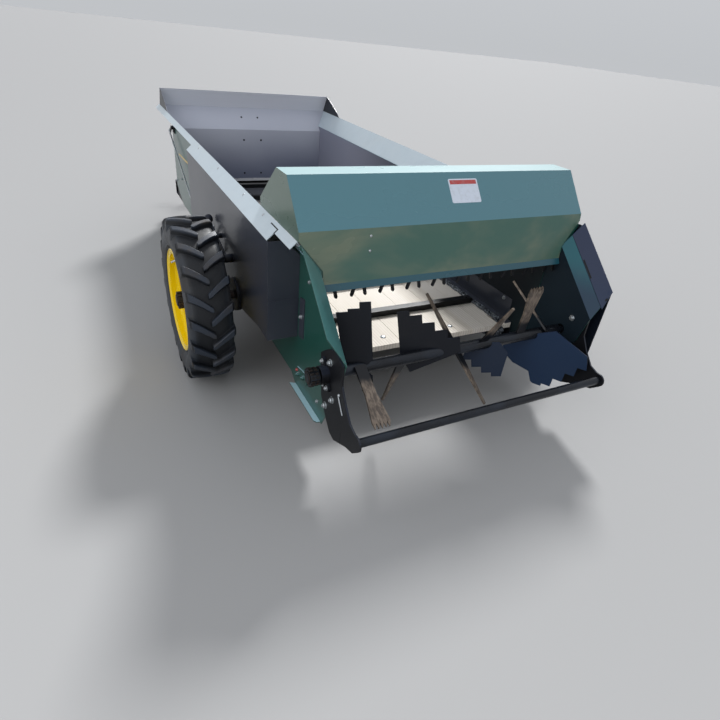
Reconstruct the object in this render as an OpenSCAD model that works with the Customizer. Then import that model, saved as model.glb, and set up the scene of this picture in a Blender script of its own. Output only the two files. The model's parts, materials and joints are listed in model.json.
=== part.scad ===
// Ground driven manure spreader: a low open box on two wheels, with a slatted floor
// conveyor, a beater behind it, a folded hood over the beater and a towing tongue on a jack.
// Millimetres. +Y is the towing end, +Z is up and the wheels stand on Z = 0.
// Lengths along the machine are first taken from the rear end of the rails and then
// moved by y_shift, which puts the origin under the middle of the whole machine.

/* [Box] */
// Inside width of the box between its side walls
box_in_w = 1104; // [1000:2:1200]
// Length from the rear end of the rails to the front edge of the side walls
box_len = 2766; // [2600:1:3000]
// Height of the rail tops above the ground
rail_h = 812; // [780:1:860]
// Height of the floor boards' top above the ground
floor_h = 270; // [255:1:290]
// Height of the side walls' lower edge above the ground
sill_h = 159; // [145:1:165]
// Thickness of the wall sheets
wall_t = 3; // [2:0.5:5]
// Thickness of the floor boards
board_t = 25; // [18:1:30]
// Number of floor boards across the box
board_n = 7; // [5:1:9]
// Length from the rear end of the rails to the rear end of the floor
floor_rear = 115; // [100:1:140]
// Set back of the front panel behind the front edge of the side walls
front_set_back = 158; // [140:1:180]

/* [Rails] */
// Outward reach of the flared band above the side wall
flare_w = 78; // [60:1:90]
// Height of the flared band
flare_h = 97; // [80:1:110]
// Outward reach of the bent lip where no cover hangs under it
lip_w = 26; // [20:1:35]
// Outward reach of the bent lip over the side cover
wide_lip_w = 53; // [45:1:60]
// Drop of the lip for each millimetre of its reach
lip_slope = 0.9; // [0.7:0.05:1.1]

/* [Side covers] */
// Rear end of the side covers, from the rear end of the rails
cover_rear = 150; // [130:1:170]
// Front end of the side covers, from the rear end of the rails
cover_front = 1537; // [1400:1:1700]
// Height of the covers' lower edge below the rail tops
cover_drop = 445; // [400:1:480]
// Further drop of the lower edge beside the axle
cover_dip = 43; // [20:1:60]
// Thickness of the cover sheets
cover_t = 3; // [2:0.5:4]

/* [Front panel and hood] */
// Height of the front panel's knee below the rail tops
knee_drop = 130; // [110:1:150]
// Forward lean of the front panel from its knee to the rail tops
knee_reach = 130; // [100:1:145]
// Height of the front panel's top strip above the rail tops
crest_h = 112; // [80:1:140]
// Rearward lean of that top strip
crest_back = 62; // [40:1:90]
// Length of the front wings along the rails
wing_len = 180; // [150:1:240]
// Thickness of the hood sheet
hood_t = 3; // [2:0.5:4]
// Height of the hood's top above the rail tops
hood_h = 180; // [160:1:200]
// Height of the toothed strip's top below the rail tops
strip_drop = 112; // [100:1:120]
// Length of the teeth under that strip
tooth_l = 69; // [55:1:69]

/* [Rear plates] */
// Thickness of the rear side plates
plate_t = 4; // [3:0.5:6]
// Width of the foot flange under each rear plate
foot_w = 26; // [20:1:40]
// Height of that foot flange above the ground
foot_h = 134; // [120:1:145]
// Width of the slanted flange on the left rear plate
flange_left_w = 73; // [60:1:78]
// Width of the slanted flange on the right rear plate, up to the beater cover
flange_right_w = 37; // [30:1:50]
// Diameter of the guard bar
guard_d = 32; // [26:1:40]
// Distance of the guard bar behind the rear end of the rails
guard_back = 413; // [400:1:440]
// Height of the guard bar's axis
guard_h = 277; // [260:1:300]
// Thickness of the arms that carry the guard bar
arm_t = 7; // [5:0.5:9]

/* [Beater] */
// Distance of the beater shaft behind the rear end of the rails
beater_back = 158; // [145:1:170]
// Height of the beater shaft's axis
beater_h = 386; // [370:1:400]
// Diameter of the beater's thick middle tube
beater_tube_d = 46; // [42:1:56]
// Diameter of the journals at the beater's ends
journal_d = 30; // [25:1:35]
// Radius of the arms' tips
arm_tip_r = 246; // [230:1:250]
// Thickness of the stepped paddles
paddle_t = 6; // [4:0.5:8]
// Width of the arms' flat bar
arm_bar_w = 44; // [36:1:50]

/* [Wheels] */
// Distance of the axle ahead of the rear end of the rails
axle_fwd = 605; // [560:1:650]
// Radius of the tyres over their lugs
tyre_r = 348; // [340:1:360]
// Section width of the tyres
tyre_w = 180; // [170:1:190]
// Distance of each wheel's middle plane from the machine's middle
wheel_x = 854; // [840:1:870]
// Radius of the rims over their flanges
rim_r = 219; // [210:1:225]
// Height of the tread lugs
lug_h = 22; // [16:1:26]
// Number of lugs on each half of the tread
lug_n = 20; // [16:1:24]
// Diameter of the axle shafts
axle_d = 40; // [34:1:44]

/* [Floor conveyor] */
// Distance of each chain's middle from the side wall
chain_set_in = 61; // [56:1:72]
// Pitch radius of the conveyor sprockets
sprocket_r = 54; // [50:1:56]
// Number of slats along each run
slat_n = 8; // [6:1:10]
// Height of the slats
slat_h = 28; // [22:1:32]
// Distance of the rear conveyor shaft ahead of the rear end of the rails
rear_shaft_y = 165; // [155:1:180]

/* [Tongue and jack] */
// Width and height of the tongue's square tube
tongue_w = 76; // [60:1:90]
// Length of the tongue ahead of the side walls
tongue_len = 930; // [850:1:1050]
// Height of the tongue's axis at the headstock
tongue_h = 215; // [205:1:225]
// Height of the hitch pin's middle above the ground
hitch_h = 390; // [340:1:430]
// Diameter of the hitch pin bore
hitch_bore_d = 20; // [18:0.5:26]
// Distance of the jack behind the hitch end of the tongue
jack_back = 250; // [230:1:300]
// Diameter of the jack's outer tube
jack_d = 56; // [50:1:60]

/* [Hidden] */
$fn = 48;

// Clearances
seat_gap = 0.3;
run_gap = 0.05;

// Box lines that everything else takes its place from
rail_t = 3;
half_in = box_in_w / 2;
wall_out = half_in + wall_t;
plate_out = wall_out + plate_t;
rail_in = half_in + flare_w;
lip_out = rail_in + lip_w;
wide_lip_out = rail_in + wide_lip_w;
flare_z = rail_h - flare_h;
wall_top = flare_z - rail_t * flare_w / norm([flare_w, flare_h]) - seat_gap;
cover_out = wide_lip_out - 2;
board_z = floor_h - board_t;
panel_y = box_len - front_set_back;
guard_y = -guard_back;
beater_y = -beater_back;
arm_end_r = guard_d / 2 + 12;
chain_x = half_in - chain_set_in;
chain_t = 16;
chain_w = 24;
headstock_d = 80;
tongue_y0 = box_len + headstock_d;
hitch_len = 90;
hitch_y = box_len + tongue_len;
y_front = hitch_y + 26;
y_rear = guard_y - arm_end_r;
y_shift = -(y_front + y_rear) / 2;

steel_black = "#17181b";
paint_green = "#1f4a38";
paint_yellow = "#e8b90c";
zinc_grey = "#aeb8bf";
board_tan = "#cdbfa6";
tyre_black = "#1b1c1e";

// Moves a piece from the rails' rear end to the machine's own origin
module at_box() translate([0, y_shift, 0]) children();
// Outline in Y and Z, extruded from x0 to x1
module along_x(x0, x1) translate([x0, 0, 0]) rotate([90, 0, 90]) linear_extrude(x1 - x0) children();
// Outline in X and Z, extruded from y0 to y1
module along_y(y0, y1) translate([0, y1, 0]) rotate([90, 0, 0]) linear_extrude(y1 - y0) children();
// A round bar along X
module bar_x(x0, x1, r, y, z) translate([x0, y, z]) rotate([0, 90, 0]) cylinder(r = r, h = x1 - x0);
module mirrored() mirror([1, 0, 0]) children();
module both() {
    children();
    mirrored() children();
}

function unit(v) = v / norm(v);
function left_of(v) = [-v[1], v[0]];
function turned(a, r) = r * [cos(a), sin(a)];
function corner_shift(p, i) =
    let (a = i > 0 ? unit(p[i] - p[i - 1]) : unit(p[1] - p[0]),
         b = i < len(p) - 1 ? unit(p[i + 1] - p[i]) : a,
         n = unit(left_of(a) + left_of(b)))
    n / (n * left_of(a));
function arc(c, r, a0, a1, n) = [for (i = [0 : n]) c + turned(a0 + (a1 - a0) * i / n, r)];
// A folded sheet of thickness t, laid on the left of the path p
module bent(p, t)
    polygon(concat(p, [for (i = [len(p) - 1 : -1 : 0]) p[i] + t * corner_shift(p, i)]));

// Floor boards, side by side between the sills
module floor_boards() color(board_tan) at_box() {
    deck_w = box_in_w - 2 * sill_t - 2;
    board_gap = 2;
    board_w = (deck_w - board_gap * (board_n - 1)) / board_n;
    notch_w = chain_w + 10;
    difference() {
        for (i = [0 : board_n - 1])
            translate([-deck_w / 2 + i * (board_w + board_gap), floor_rear, board_z])
                cube([board_w, panel_y - floor_rear, board_t]);
        both()
            translate([chain_x - notch_w / 2, floor_rear - 1, board_z - 1])
                cube([notch_w, rear_shaft_y + sprocket_r - floor_rear, board_t + 2]);
    }
}

// Side wall sheet with its lower front corner cut away
wall_rear = 20;
corner_up = 90;
corner_back = 196;
module side_wall() color(paint_green) at_box()
    along_x(half_in, wall_out)
        polygon([[wall_rear, wall_top], [box_len, wall_top], [box_len, sill_h + corner_up],
                 [box_len - corner_back, sill_h], [rear_shaft_y - 60, sill_h], [wall_rear, sill_h + 60]]);

// Rail: flared band, top edge and bent lip, wider over the side cover
function rail_path(reach) = [[half_in, flare_z], [rail_in, rail_h],
                             [rail_in + reach, rail_h - reach * lip_slope]];
module rail() color(zinc_grey) at_box() {
    along_y(0, box_len) bent(rail_path(lip_w), -rail_t);
    along_y(cover_rear + 4, cover_front) bent(rail_path(wide_lip_w), -rail_t);
}

// Side cover over the drive: outer sheet whose lower edge dips beside the axle
cover_hang = rail_h - wide_lip_w * lip_slope - rail_t - seat_gap * 3;
housing_r = 75;
module cover_outline() {
    z0 = rail_h - cover_drop;
    difference() {
        polygon([[cover_rear, cover_hang], [cover_front, cover_hang], [cover_front, z0],
                 [axle_fwd + 330, z0], [axle_fwd + 110, z0 - cover_dip],
                 [axle_fwd - 110, z0 - cover_dip], [cover_rear + 115, z0], [cover_rear, z0]]);
        translate([axle_fwd, tyre_r]) circle(r = housing_r + 2);
    }
}
module side_cover() color(steel_black) at_box() {
    along_x(cover_out - cover_t, cover_out) cover_outline();
    along_y(cover_front - cover_t, cover_front)
        polygon([[wall_out + seat_gap, rail_h - cover_drop], [cover_out, rail_h - cover_drop],
                 [cover_out, cover_hang], [rail_in - 8, cover_hang],
                 [wall_out + seat_gap, flare_z - 12]]);
}

// Closure behind the cover: an upper sheet and a lower one lapped over it
module closure() color(steel_black) at_box() {
    x0 = plate_out + seat_gap;
    split_z = rail_h - 300;
    low_z = rail_h - cover_drop;
    along_y(cover_rear - cover_t - seat_gap, cover_rear - seat_gap)
        polygon([[x0, split_z], [cover_out, split_z], [cover_out, cover_hang], [rail_in - 8, cover_hang],
                 [x0, flare_z - 12]]);
    along_y(cover_rear - 2 * cover_t - seat_gap, cover_rear - cover_t - seat_gap)
        polygon([[x0, low_z], [cover_out, low_z], [cover_out, split_z + 20], [x0, split_z + 20]]);
}

// Rear plate: side sheet around the beater, slanted flange and foot
slant_top = [-25, flare_z];
slant_low = [-280, rail_h - 319];
flange_rise = flare_h - 2;
flange_back = 14;
foot_front_y = 150;
foot_rear_y = -128;
// A corner of the slanted flange: a place on its inner line, moved out by w
function flange_corner(p, w) = [wall_out + w, p[0] - flange_back * w / flare_w, p[1] + flange_rise * w / flare_w];
module flange(w0, w1, low_cut)
    hull()
        for (c = [[slant_top, w0], [slant_low, w0], [slant_top, w1],
                  [slant_low + low_cut * (slant_top - slant_low), w1]])
            translate(flange_corner(c[0], c[1])) rotate([0, 90, 0]) cylinder(d = plate_t, h = 1, $fn = 8);
module rear_plate(flange_w, low_cut) color(paint_green) at_box() {
    difference() {
        along_x(wall_out, plate_out)
            polygon([slant_top, slant_low, [-250, rail_h - 440], [foot_rear_y, foot_h],
                     [foot_front_y, foot_h], [foot_front_y + 55, sill_h + 13], [454, sill_h + 8],
                     [454, wall_top], [-1, wall_top], [-1, flare_z]]);
        bar_x(wall_out - 1, plate_out + 1, journal_d / 2 + 6, beater_y, beater_h);
    }
    flange(0, flange_w, low_cut);
    foot_out = wall_out + foot_w;
    translate([0, 0, foot_h + 1]) linear_extrude(plate_t)
        polygon([[wall_out + 1, foot_front_y - 6], [foot_out, foot_front_y + 8], [foot_out, foot_rear_y + 24],
                 [foot_out - 9, foot_rear_y + 10], [wall_out + 1, foot_rear_y + 8]]);
}

// Beater cover on the right side: outer sheet with a strip that carries on the flange
cover_x = wall_out + flare_w;
cover_drop_rear = 497;
cover_drop_front = 446;
module beater_cover() color(steel_black) at_box() {
    w1 = flare_w + 2;
    top = flange_corner(slant_top, w1 - 0.5);
    low = flange_corner(slant_low + 0.07 * (slant_top - slant_low), w1 - 0.5);
    front_y = cover_rear - 2 * cover_t - 2 * seat_gap;
    lip_z = rail_h - (cover_x + cover_t - rail_in) * lip_slope - 1.4 * rail_t - seat_gap;
    flange(flange_right_w + 1 + seat_gap, w1, 0.07);
    along_x(cover_x, cover_x + cover_t)
        polygon([[low[1], low[2]], [low[1], rail_h - cover_drop_rear], [front_y, rail_h - cover_drop_front],
                 [front_y, lip_z], [-1, lip_z], [top[1] + 1, lip_z], [top[1], top[2]]]);
}

// Front panel: upright sheet, knee, flare to rail height, crest leaning back, side wings
crest_y = panel_y + knee_reach - crest_back;
crest_z = rail_h + crest_h;
module front_panel() color(steel_black) at_box() {
    gap_h = slat_h + 30;
    path = [[panel_y, floor_h + gap_h], [panel_y, rail_h - knee_drop],
            [panel_y + knee_reach, rail_h], [crest_y, crest_z]];
    x1 = half_in - seat_gap * 1.4;
    x2 = rail_in - seat_gap * 1.4;
    intersection() {
        along_x(-rail_in, rail_in) bent(path, -wall_t);
        along_y(panel_y - 300, box_len + 50)
            polygon([[-x1, floor_h], [x1, floor_h], [x1, flare_z], [x2, rail_h], [x2, crest_z + 20],
                     [-x2, crest_z + 20], [-x2, rail_h], [-x1, flare_z]]);
    }
    both()
        along_x(rail_in - wall_t - seat_gap, rail_in - seat_gap)
            polygon([[panel_y - wing_len, rail_h + 1], [panel_y + knee_reach, rail_h + 1],
                     [crest_y, crest_z], [panel_y - wing_len + 45, rail_h + 30]]);
}

// Hood: folded sheet over the beater with end panels
hood_front = 391;
hood_path = [[hood_front - 4, rail_h + 5], [hood_front, rail_h + 31], [214, rail_h + hood_h - 1],
             [113, rail_h + hood_h], [-10, rail_h + 33]];
hood_tail = [[-10, rail_h + 33], [-40, rail_h - 144], [-52, rail_h - 166]];
// Outline that trims the tail: its reach behind and ahead of the rails' ends, and below their tops
tail_trim = [-200, 100, 200];
module hood() color(paint_green) at_box() {
    tail_in = half_in - 8;
    along_x(-rail_in, rail_in) bent(hood_path, hood_t);
    intersection() {
        along_x(-rail_in, rail_in) bent(hood_tail, hood_t);
        along_y(tail_trim[0], tail_trim[1])
            polygon([[-rail_in, rail_h + 50], [rail_in, rail_h + 50], [rail_in, rail_h + 4],
                     [half_in - 4, flare_z], [tail_in, rail_h - tail_trim[2]], [-tail_in, rail_h - tail_trim[2]],
                     [-half_in + 4, flare_z], [-rail_in, rail_h + 4]]);
    }
    both()
        along_x(rail_in - hood_t, rail_in)
            polygon(concat(hood_path, [[-8, rail_h + seat_gap], [hood_front - 4, rail_h + seat_gap]]));
}

// Toothed strip behind the hood's lower edge: a strip with splayed pairs of teeth
tooth_pitch = 115;
tooth_strip_w = box_in_w - 21;
tooth_pair_n = floor((tooth_strip_w - 40) / tooth_pitch) + 1;
tooth_t = 6;
tooth_w = 12;
tooth_spread = [9, 27];
strip_h = 26;
function flipped(points) = [for (i = [len(points) - 1 : -1 : 0]) [-points[i][0], points[i][1]]];
module tooth(side) {
    root = [tooth_spread[0], 5];
    tip = [tooth_spread[1], tooth_w / 2 - tooth_l];
    half = tooth_w / 2 * unit(left_of(tip - root));
    outline = [root + half, root - half, tip - half, tip + [-4, -tooth_w * 0.3], [tip[0], -tooth_l],
               tip + [4, -tooth_w * 0.3], tip + half];
    polygon(side > 0 ? outline : flipped(outline));
}
module hood_teeth() color(steel_black) at_box() {
    top_z = rail_h - strip_drop;
    low_z = top_z - strip_h;
    tail_y = hood_tail[1][0] + (top_z - hood_tail[1][1]) / 5.9 + hood_t;
    span = tooth_strip_w;
    along_y(tail_y + seat_gap, tail_y + seat_gap + tooth_t) {
        translate([-span / 2, low_z]) square([span, strip_h]);
        for (i = [0 : tooth_pair_n - 1], side = [-1, 1])
            translate([(i - (tooth_pair_n - 1) / 2) * tooth_pitch, low_z]) tooth(side);
    }
}

// Arm that carries the guard bar, a curved plate outside the rear plate.
// Its two edges are given from the beater's axis
arm_front_edge = [[27, 82], [59, 55], [55, 2], [42, -54], [33, -115], [4, -154], [-24, -188], [-57, -219],
                  [-94, -226], [-186, -180], [-238, -164]];
arm_rear_edge = [[-235, -82], [-200, -71], [-155, -23], [-120, 28], [-117, 103], [-50, 121], [-11, 109]];
module arm() color(steel_black) at_box() {
    hub = [beater_y, beater_h];
    tip = [guard_y, guard_h];
    difference() {
        along_x(plate_out, plate_out + arm_t)
            polygon(concat([for (p = arm_front_edge) hub + p], arc(tip, arm_end_r, 230, 100, 8),
                           [for (p = arm_rear_edge) hub + p]));
        bar_x(plate_out - 1, plate_out + arm_t + 1, journal_d / 2 + 6, beater_y, beater_h);
    }
}

module guard_bar() color(steel_black) at_box()
    bar_x(-plate_out, plate_out, guard_d / 2, guard_y, guard_h);

// Flanged bearings on the arms, with true bores for the beater's journals
bearing_x = plate_out + arm_t;
bearing_w = 30;
module beater_bearings() color(steel_black) at_box()
    both()
        difference() {
            union() {
                bar_x(bearing_x, bearing_x + bearing_w, 34, beater_y, beater_h);
                along_x(bearing_x, bearing_x + 9)
                    translate([beater_y, beater_h]) rotate(60)
                        polygon(concat(arc([48, 0], 16, -70, 70, 6), arc([-48, 0], 16, 110, 250, 6)));
            }
            bar_x(bearing_x - 1, bearing_x + bearing_w + 1, journal_d / 2 + run_gap, beater_y, beater_h);
        }

// Sills: channels inside the lower edge of the side walls
sill_t = 5;
sill_w = 40;
module sills() color(steel_black) at_box()
    both()
        along_y(rear_shaft_y - 50, box_len)
            polygon([[half_in, sill_h], [half_in, board_z], [half_in - sill_w, board_z],
                     [half_in - sill_w, board_z - sill_t], [half_in - sill_t, board_z - sill_t],
                     [half_in - sill_t, sill_h + sill_t], [half_in - sill_w, sill_h + sill_t],
                     [half_in - sill_w, sill_h]]);

// Cross members that carry the boards between the sills
member_n = 5;
module cross_members() color(steel_black) at_box() {
    w = half_in - sill_w - seat_gap;
    member_w = 45;
    member_h = 40;
    for (i = [0 : member_n - 1])
        along_x(-w, w)
            translate([floor_rear + 115 + i * (panel_y - floor_rear - 260) / (member_n - 1), board_z])
                polygon([[0, 0], [member_w, 0], [member_w, -member_h], [member_w - 4, -member_h],
                         [member_w - 4, -4], [4, -4], [4, -member_h], [0, -member_h]]);
}

// Axle housings: round tubes with a flange on the wall and a bearing face
housing_x1 = cover_out + 10;
module axle_housings() color(steel_black) at_box()
    both()
        difference() {
            union() {
                bar_x(wall_out, wall_out + 10, housing_r + 12, axle_fwd, tyre_r);
                bar_x(wall_out, housing_x1 - 12, 50, axle_fwd, tyre_r);
                bar_x(housing_x1 - 22, housing_x1, housing_r, axle_fwd, tyre_r);
            }
            bar_x(wall_out - 1, housing_x1 + 1, axle_d / 2 + run_gap, axle_fwd, tyre_r);
        }

// Conveyor shafts with their sprockets
front_shaft_y = panel_y + 52;
shaft_z = floor_h + chain_t / 2 + seat_gap - sprocket_r;
conveyor_shaft_r = 15;
module conveyor_shafts() color(steel_black) at_box()
    for (y = [rear_shaft_y, front_shaft_y]) {
        bar_x(-half_in + sill_t, half_in - sill_t, conveyor_shaft_r, y, shaft_z);
        both() bar_x(chain_x - 7, chain_x + 7, sprocket_r - chain_t / 2 - seat_gap, y, shaft_z);
    }

// Conveyor chains, each one closed loop
module loop_outline(r) {
    translate([rear_shaft_y, shaft_z]) circle(r = r);
    translate([front_shaft_y, shaft_z]) circle(r = r);
    translate([rear_shaft_y, shaft_z - r]) square([front_shaft_y - rear_shaft_y, 2 * r]);
}
module conveyor_chains() color(steel_black) at_box()
    both()
        along_x(chain_x - chain_w / 2, chain_x + chain_w / 2)
            difference() {
                loop_outline(sprocket_r + chain_t / 2);
                loop_outline(sprocket_r - chain_t / 2);
            }

// Slats that span the two chains on the upper and the lower run
module conveyor_slats() color(steel_black) at_box() {
    pitch = (front_shaft_y - rear_shaft_y) / slat_n;
    slat_w = 38;
    x1 = chain_x - chain_w / 2 - seat_gap;
    for (i = [0 : slat_n - 1], up = [0, 1])
        translate([-x1, rear_shaft_y + (i + 0.4 + 0.2 * up) * pitch,
                   up ? floor_h + seat_gap : shaft_z - sprocket_r - slat_h + 10])
            cube([2 * x1, slat_w, slat_h]);
}

// Headstock: cross channel between the front ends of the side walls
headstock_h = 100;
module headstock() color(steel_black) at_box()
    along_x(-wall_out, wall_out)
        translate([box_len + seat_gap, tongue_h - headstock_h / 2])
            difference() {
                square([headstock_d - seat_gap, headstock_h]);
                translate([-1, 6]) square([headstock_d - 6, headstock_h - 12]);
            }

// Tongue: rising square tube
tongue_run = hitch_y - hitch_len - tongue_y0;
tongue_tilt = atan2(hitch_h - tongue_h, hitch_y - tongue_y0);
function tongue_z(y) = tongue_h + (y - tongue_y0) * tan(tongue_tilt);
jack_y = hitch_y - jack_back;
jack_z = tongue_z(jack_y);
brace_w = 44;
stow_gap = 12;
brace_y = jack_y - jack_z - brace_w - stow_gap;
module tongue() color(steel_black) at_box() {
    difference() {
        translate([0, tongue_y0, tongue_h]) rotate([tongue_tilt, 0, 0])
            translate([-tongue_w / 2, -20, -tongue_w / 2])
                cube([tongue_w, tongue_run / cos(tongue_tilt) + 20, tongue_w]);
        translate([-tongue_w, tongue_y0 - 60, tongue_h - 100]) cube([2 * tongue_w, 60, 200]);
        translate([-tongue_w, hitch_y - hitch_len - seat_gap, hitch_h - 100])
            cube([2 * tongue_w, 60, 200]);
    }
}

// Braces from the ends of the headstock to the tongue's sides
module tongue_braces() color(steel_black) at_box()
    both()
        hull() {
            translate([wall_out - 70, tongue_y0 + seat_gap, tongue_h - brace_w / 2])
                cube([brace_w, 4, brace_w]);
            translate([tongue_w / 2 + seat_gap, brace_y, tongue_z(brace_y) - brace_w / 2])
                cube([4, brace_w, brace_w]);
        }

// Hitch: two plates with a bore for the drawbar pin
hitch_plate_t = 12;
hitch_gap = 34;
module hitch() color(steel_black) at_box() {
    difference() {
        union() {
            for (s = [-1, 1])
                translate([0, 0, hitch_h + s * (hitch_gap + hitch_plate_t) / 2 - hitch_plate_t / 2]) {
                    translate([0, hitch_y, 0]) cylinder(r = 26, h = hitch_plate_t);
                    translate([-26, hitch_y - hitch_len, 0]) cube([52, hitch_len, hitch_plate_t]);
                }
            translate([-tongue_w / 2, hitch_y - hitch_len, hitch_h - 50]) cube([tongue_w, 14, 100]);
        }
        translate([0, hitch_y, hitch_h - 60]) cylinder(d = hitch_bore_d, h = 120);
    }
}

// Jack: pivot boss on the tongue, then the tube, leg and crank that swing on it
boss_len = 30;
jack_x = -(tongue_w / 2 + boss_len + 10 + jack_d / 2);
module jack_mount() color(steel_black) at_box() {
    bar_x(-tongue_w / 2 - boss_len, -tongue_w / 2, 30, jack_y, jack_z);
    bar_x(-tongue_w / 2 - boss_len - 6, -tongue_w / 2 - boss_len, 12, jack_y, jack_z);
}
jack_top = jack_z + 240;
jack_low = jack_z - 200;
module jack_tube() color(zinc_grey) at_box() {
    difference() {
        union() {
            translate([jack_x, jack_y, jack_low]) cylinder(d = jack_d, h = jack_top - jack_low);
            bar_x(jack_x, -tongue_w / 2 - boss_len - seat_gap, 32, jack_y, jack_z);
        }
        translate([jack_x, jack_y, jack_low - 1]) cylinder(d = jack_d - 10, h = 201);
        bar_x(-tongue_w / 2 - boss_len - 8, -tongue_w / 2 - boss_len + 1, 12 + run_gap, jack_y, jack_z);
    }
}
module jack_foot() color(zinc_grey) at_box() {
    translate([jack_x, jack_y, 0]) cylinder(d = jack_d - 10 - 2 * seat_gap, h = jack_low + 150);
    translate([jack_x - 55, jack_y - 70, 0]) cube([110, 140, 8]);
}
module jack_crank() color(zinc_grey) at_box() {
    bar_x(jack_x - jack_d / 2 - 60, jack_x - jack_d / 2 - seat_gap, 8, jack_y, jack_top - 30);
    translate([jack_x - jack_d / 2 - 60, jack_y - 8, jack_top - 38]) cube([12, 130, 16]);
    bar_x(jack_x - jack_d / 2 - 150, jack_x - jack_d / 2 - 54, 11, jack_y + 112, jack_top - 30);
}

// Tyre: carcass in flat facets round its section, with bent lugs on each half of the tread
carcass_r = tyre_r - lug_h;
seat_r = rim_r - 17;
rim_w = 140;
tyre_seg_n = 40;
function round_axle(r, a, z) = [r * cos(a), r * sin(a), z];
module at_wheel() translate([wheel_x, axle_fwd, tyre_r]) rotate([0, 90, 0]) children();
module carcass() {
    w = tyre_w / 2;
    b = rim_w / 2 - seat_gap;
    bead_r = (seat_r + seat_gap) / cos(180 / tyre_seg_n);
    half = [[bead_r, b], [rim_r + 4, b], [rim_r + 34, w - 3], [rim_r + 64, w], [carcass_r - 16, w - 8],
            [carcass_r, w - 32]];
    ring = concat(half, [for (i = [len(half) - 1 : -1 : 0]) [half[i][0], -half[i][1]]]);
    m = len(ring);
    polyhedron(points = [for (i = [0 : tyre_seg_n - 1], p = ring) round_axle(p[0], 360 * i / tyre_seg_n, p[1])],
               faces = [for (i = [0 : tyre_seg_n - 1], k = [0 : m - 1])
                   let (j = (i + 1) % tyre_seg_n, n = (k + 1) % m)
                       [i * m + k, j * m + k, j * m + n, i * m + n]]);
}
// Stations of one lug: distance from the tread's middle, angle, half width in degrees, radius
lug_stations = [[-5, 0, 1.9, tyre_r], [32, -5.2, 2.1, tyre_r], [tyre_w / 2 - 8, -9.4, 2.5, tyre_r - 7]];
module lug() {
    base_r = carcass_r - 20;
    polyhedron(points = [for (p = lug_stations, c = [[-1, 0], [1, 0], [1, 1], [-1, 1]])
                             round_axle(c[1] ? p[3] : base_r, p[1] + c[0] * (p[2] + 0.7 * (1 - c[1])), p[0])],
               faces = concat([[3, 2, 1], [3, 1, 0], [8, 9, 10], [8, 10, 11]],
                              [for (j = [0, 4], c = [0 : 3], half = [0, 1])
                                  let (n = (c + 1) % 4)
                                      half ? [j + c, j + n, j + 4 + n] : [j + c, j + 4 + n, j + 4 + c]]));
}
module tyre() color(tyre_black) at_box() at_wheel() {
    carcass();
    for (i = [0 : lug_n - 1], side = [0, 1])
        rotate(360 / lug_n * (i + side / 2)) mirror([0, 0, side]) lug();
}

// Rim: turned barrel with flanges and a dished disc
module rim() color(paint_yellow) at_box() at_wheel() {
    b = rim_w / 2;
    well_r = seat_r - 24;
    disc_z = -18;
    disc_t = 8;
    hub_r = 34;
    half = [[well_r, b - 32], [seat_r, b - 22], [seat_r, b], [rim_r - 3, b], [rim_r, b + 4],
            [rim_r, b + 8], [rim_r - 4, b + 10], [rim_r - 8, b + 5], [rim_r - 12, b + 4],
            [seat_r - 4, b + 3], [seat_r - 4, b - 20], [well_r - 4, b - 30]];
    rotate_extrude($fn = 64) {
        polygon(concat(half, [for (i = [len(half) - 1 : -1 : 0]) [half[i][0], -half[i][1]]]));
        polygon([[well_r - 3, 6], [130, -4], [104, disc_z], [hub_r, disc_z], [hub_r, disc_z + disc_t],
                 [101, disc_z + disc_t], [127, 4], [well_r - 3, 14]]);
    }
}

// Axle shaft with the wheel's hub and its flange
module axle() color(steel_black) at_box() {
    bar_x(wall_out + seat_gap, wheel_x + 60, axle_d / 2, axle_fwd, tyre_r);
    bar_x(wheel_x - 40, wheel_x - 18 - seat_gap, 88, axle_fwd, tyre_r);
    bar_x(wheel_x - 30, wheel_x + 78, 33, axle_fwd, tyre_r);
}

// Beater shaft: thick middle tube on thinner journals that end in collars.
// The right end is short and stays inside the beater cover
tube_half = half_in - 22;
module beater_shaft() color(steel_black) at_box() {
    x1 = bearing_x + bearing_w;
    bar_x(-x1 - 44, x1 + 30, journal_d / 2, beater_y, beater_h);
    bar_x(-tube_half, tube_half, beater_tube_d / 2, beater_y, beater_h);
    bar_x(-x1 - 40, -x1 - 5, 31, beater_y, beater_h);
    bar_x(x1 + 5, x1 + 24, 31, beater_y, beater_h);
}

// A place on the shaft: x along it, angle about it, lean along it and twist about the radius
module at_beater(x, a, lean, twist)
    translate([x, beater_y, beater_h]) rotate([a, 0, 0]) rotate([0, 0, lean]) rotate([0, -twist, 0])
        children();
module tube_space()
    bar_x(-half_in, half_in, beater_tube_d / 2 + seat_gap, beater_y, beater_h);

// Stepped paddles, one row each: middle x (the outer ones from their wall), angle, twist, start,
// tread, reach of each step, and the corners [along, reach] that close the plate on the other side
paddles = [[97 - half_in, 73, 24, -59, 41, [207, 217, 239],
            [[64, 30], [30, 0], [62, -30], [62, -88], [22, -88], [22, 0], [-40, 8]]],
           [-130, 66.5, 24, -118, 46.5, [172, 153, 120, 87, 53], [[115, -4], [-86, -64], [-118, 8]]],
           [130, 247, -43, -93, 38.7, [67, 98, 123, 139], [[92, 44], [62, -2], [-60, -8]]],
           [half_in - 168, 273, -53, 78, 36.6, [229, 215, 172, 126, 80],
            [[254, 52], [242, 16], [90, -49], [16, -8], [-98, 93], [-68, 137], [-33, 161], [44, 177],
             [66, 222]]]];
module paddle_outline(start, tread, reaches, corners)
    polygon(concat([for (k = [0 : len(reaches) - 1], far = [0, 1]) [start + (k + far) * tread, reaches[k]]],
                   corners));
module paddle_plates(t)
    for (p = paddles)
        at_beater(p[0], p[1], 0, p[2])
            translate([0, 0, -t / 2]) linear_extrude(t) paddle_outline(p[3], p[4], p[5], p[6]);
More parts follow.
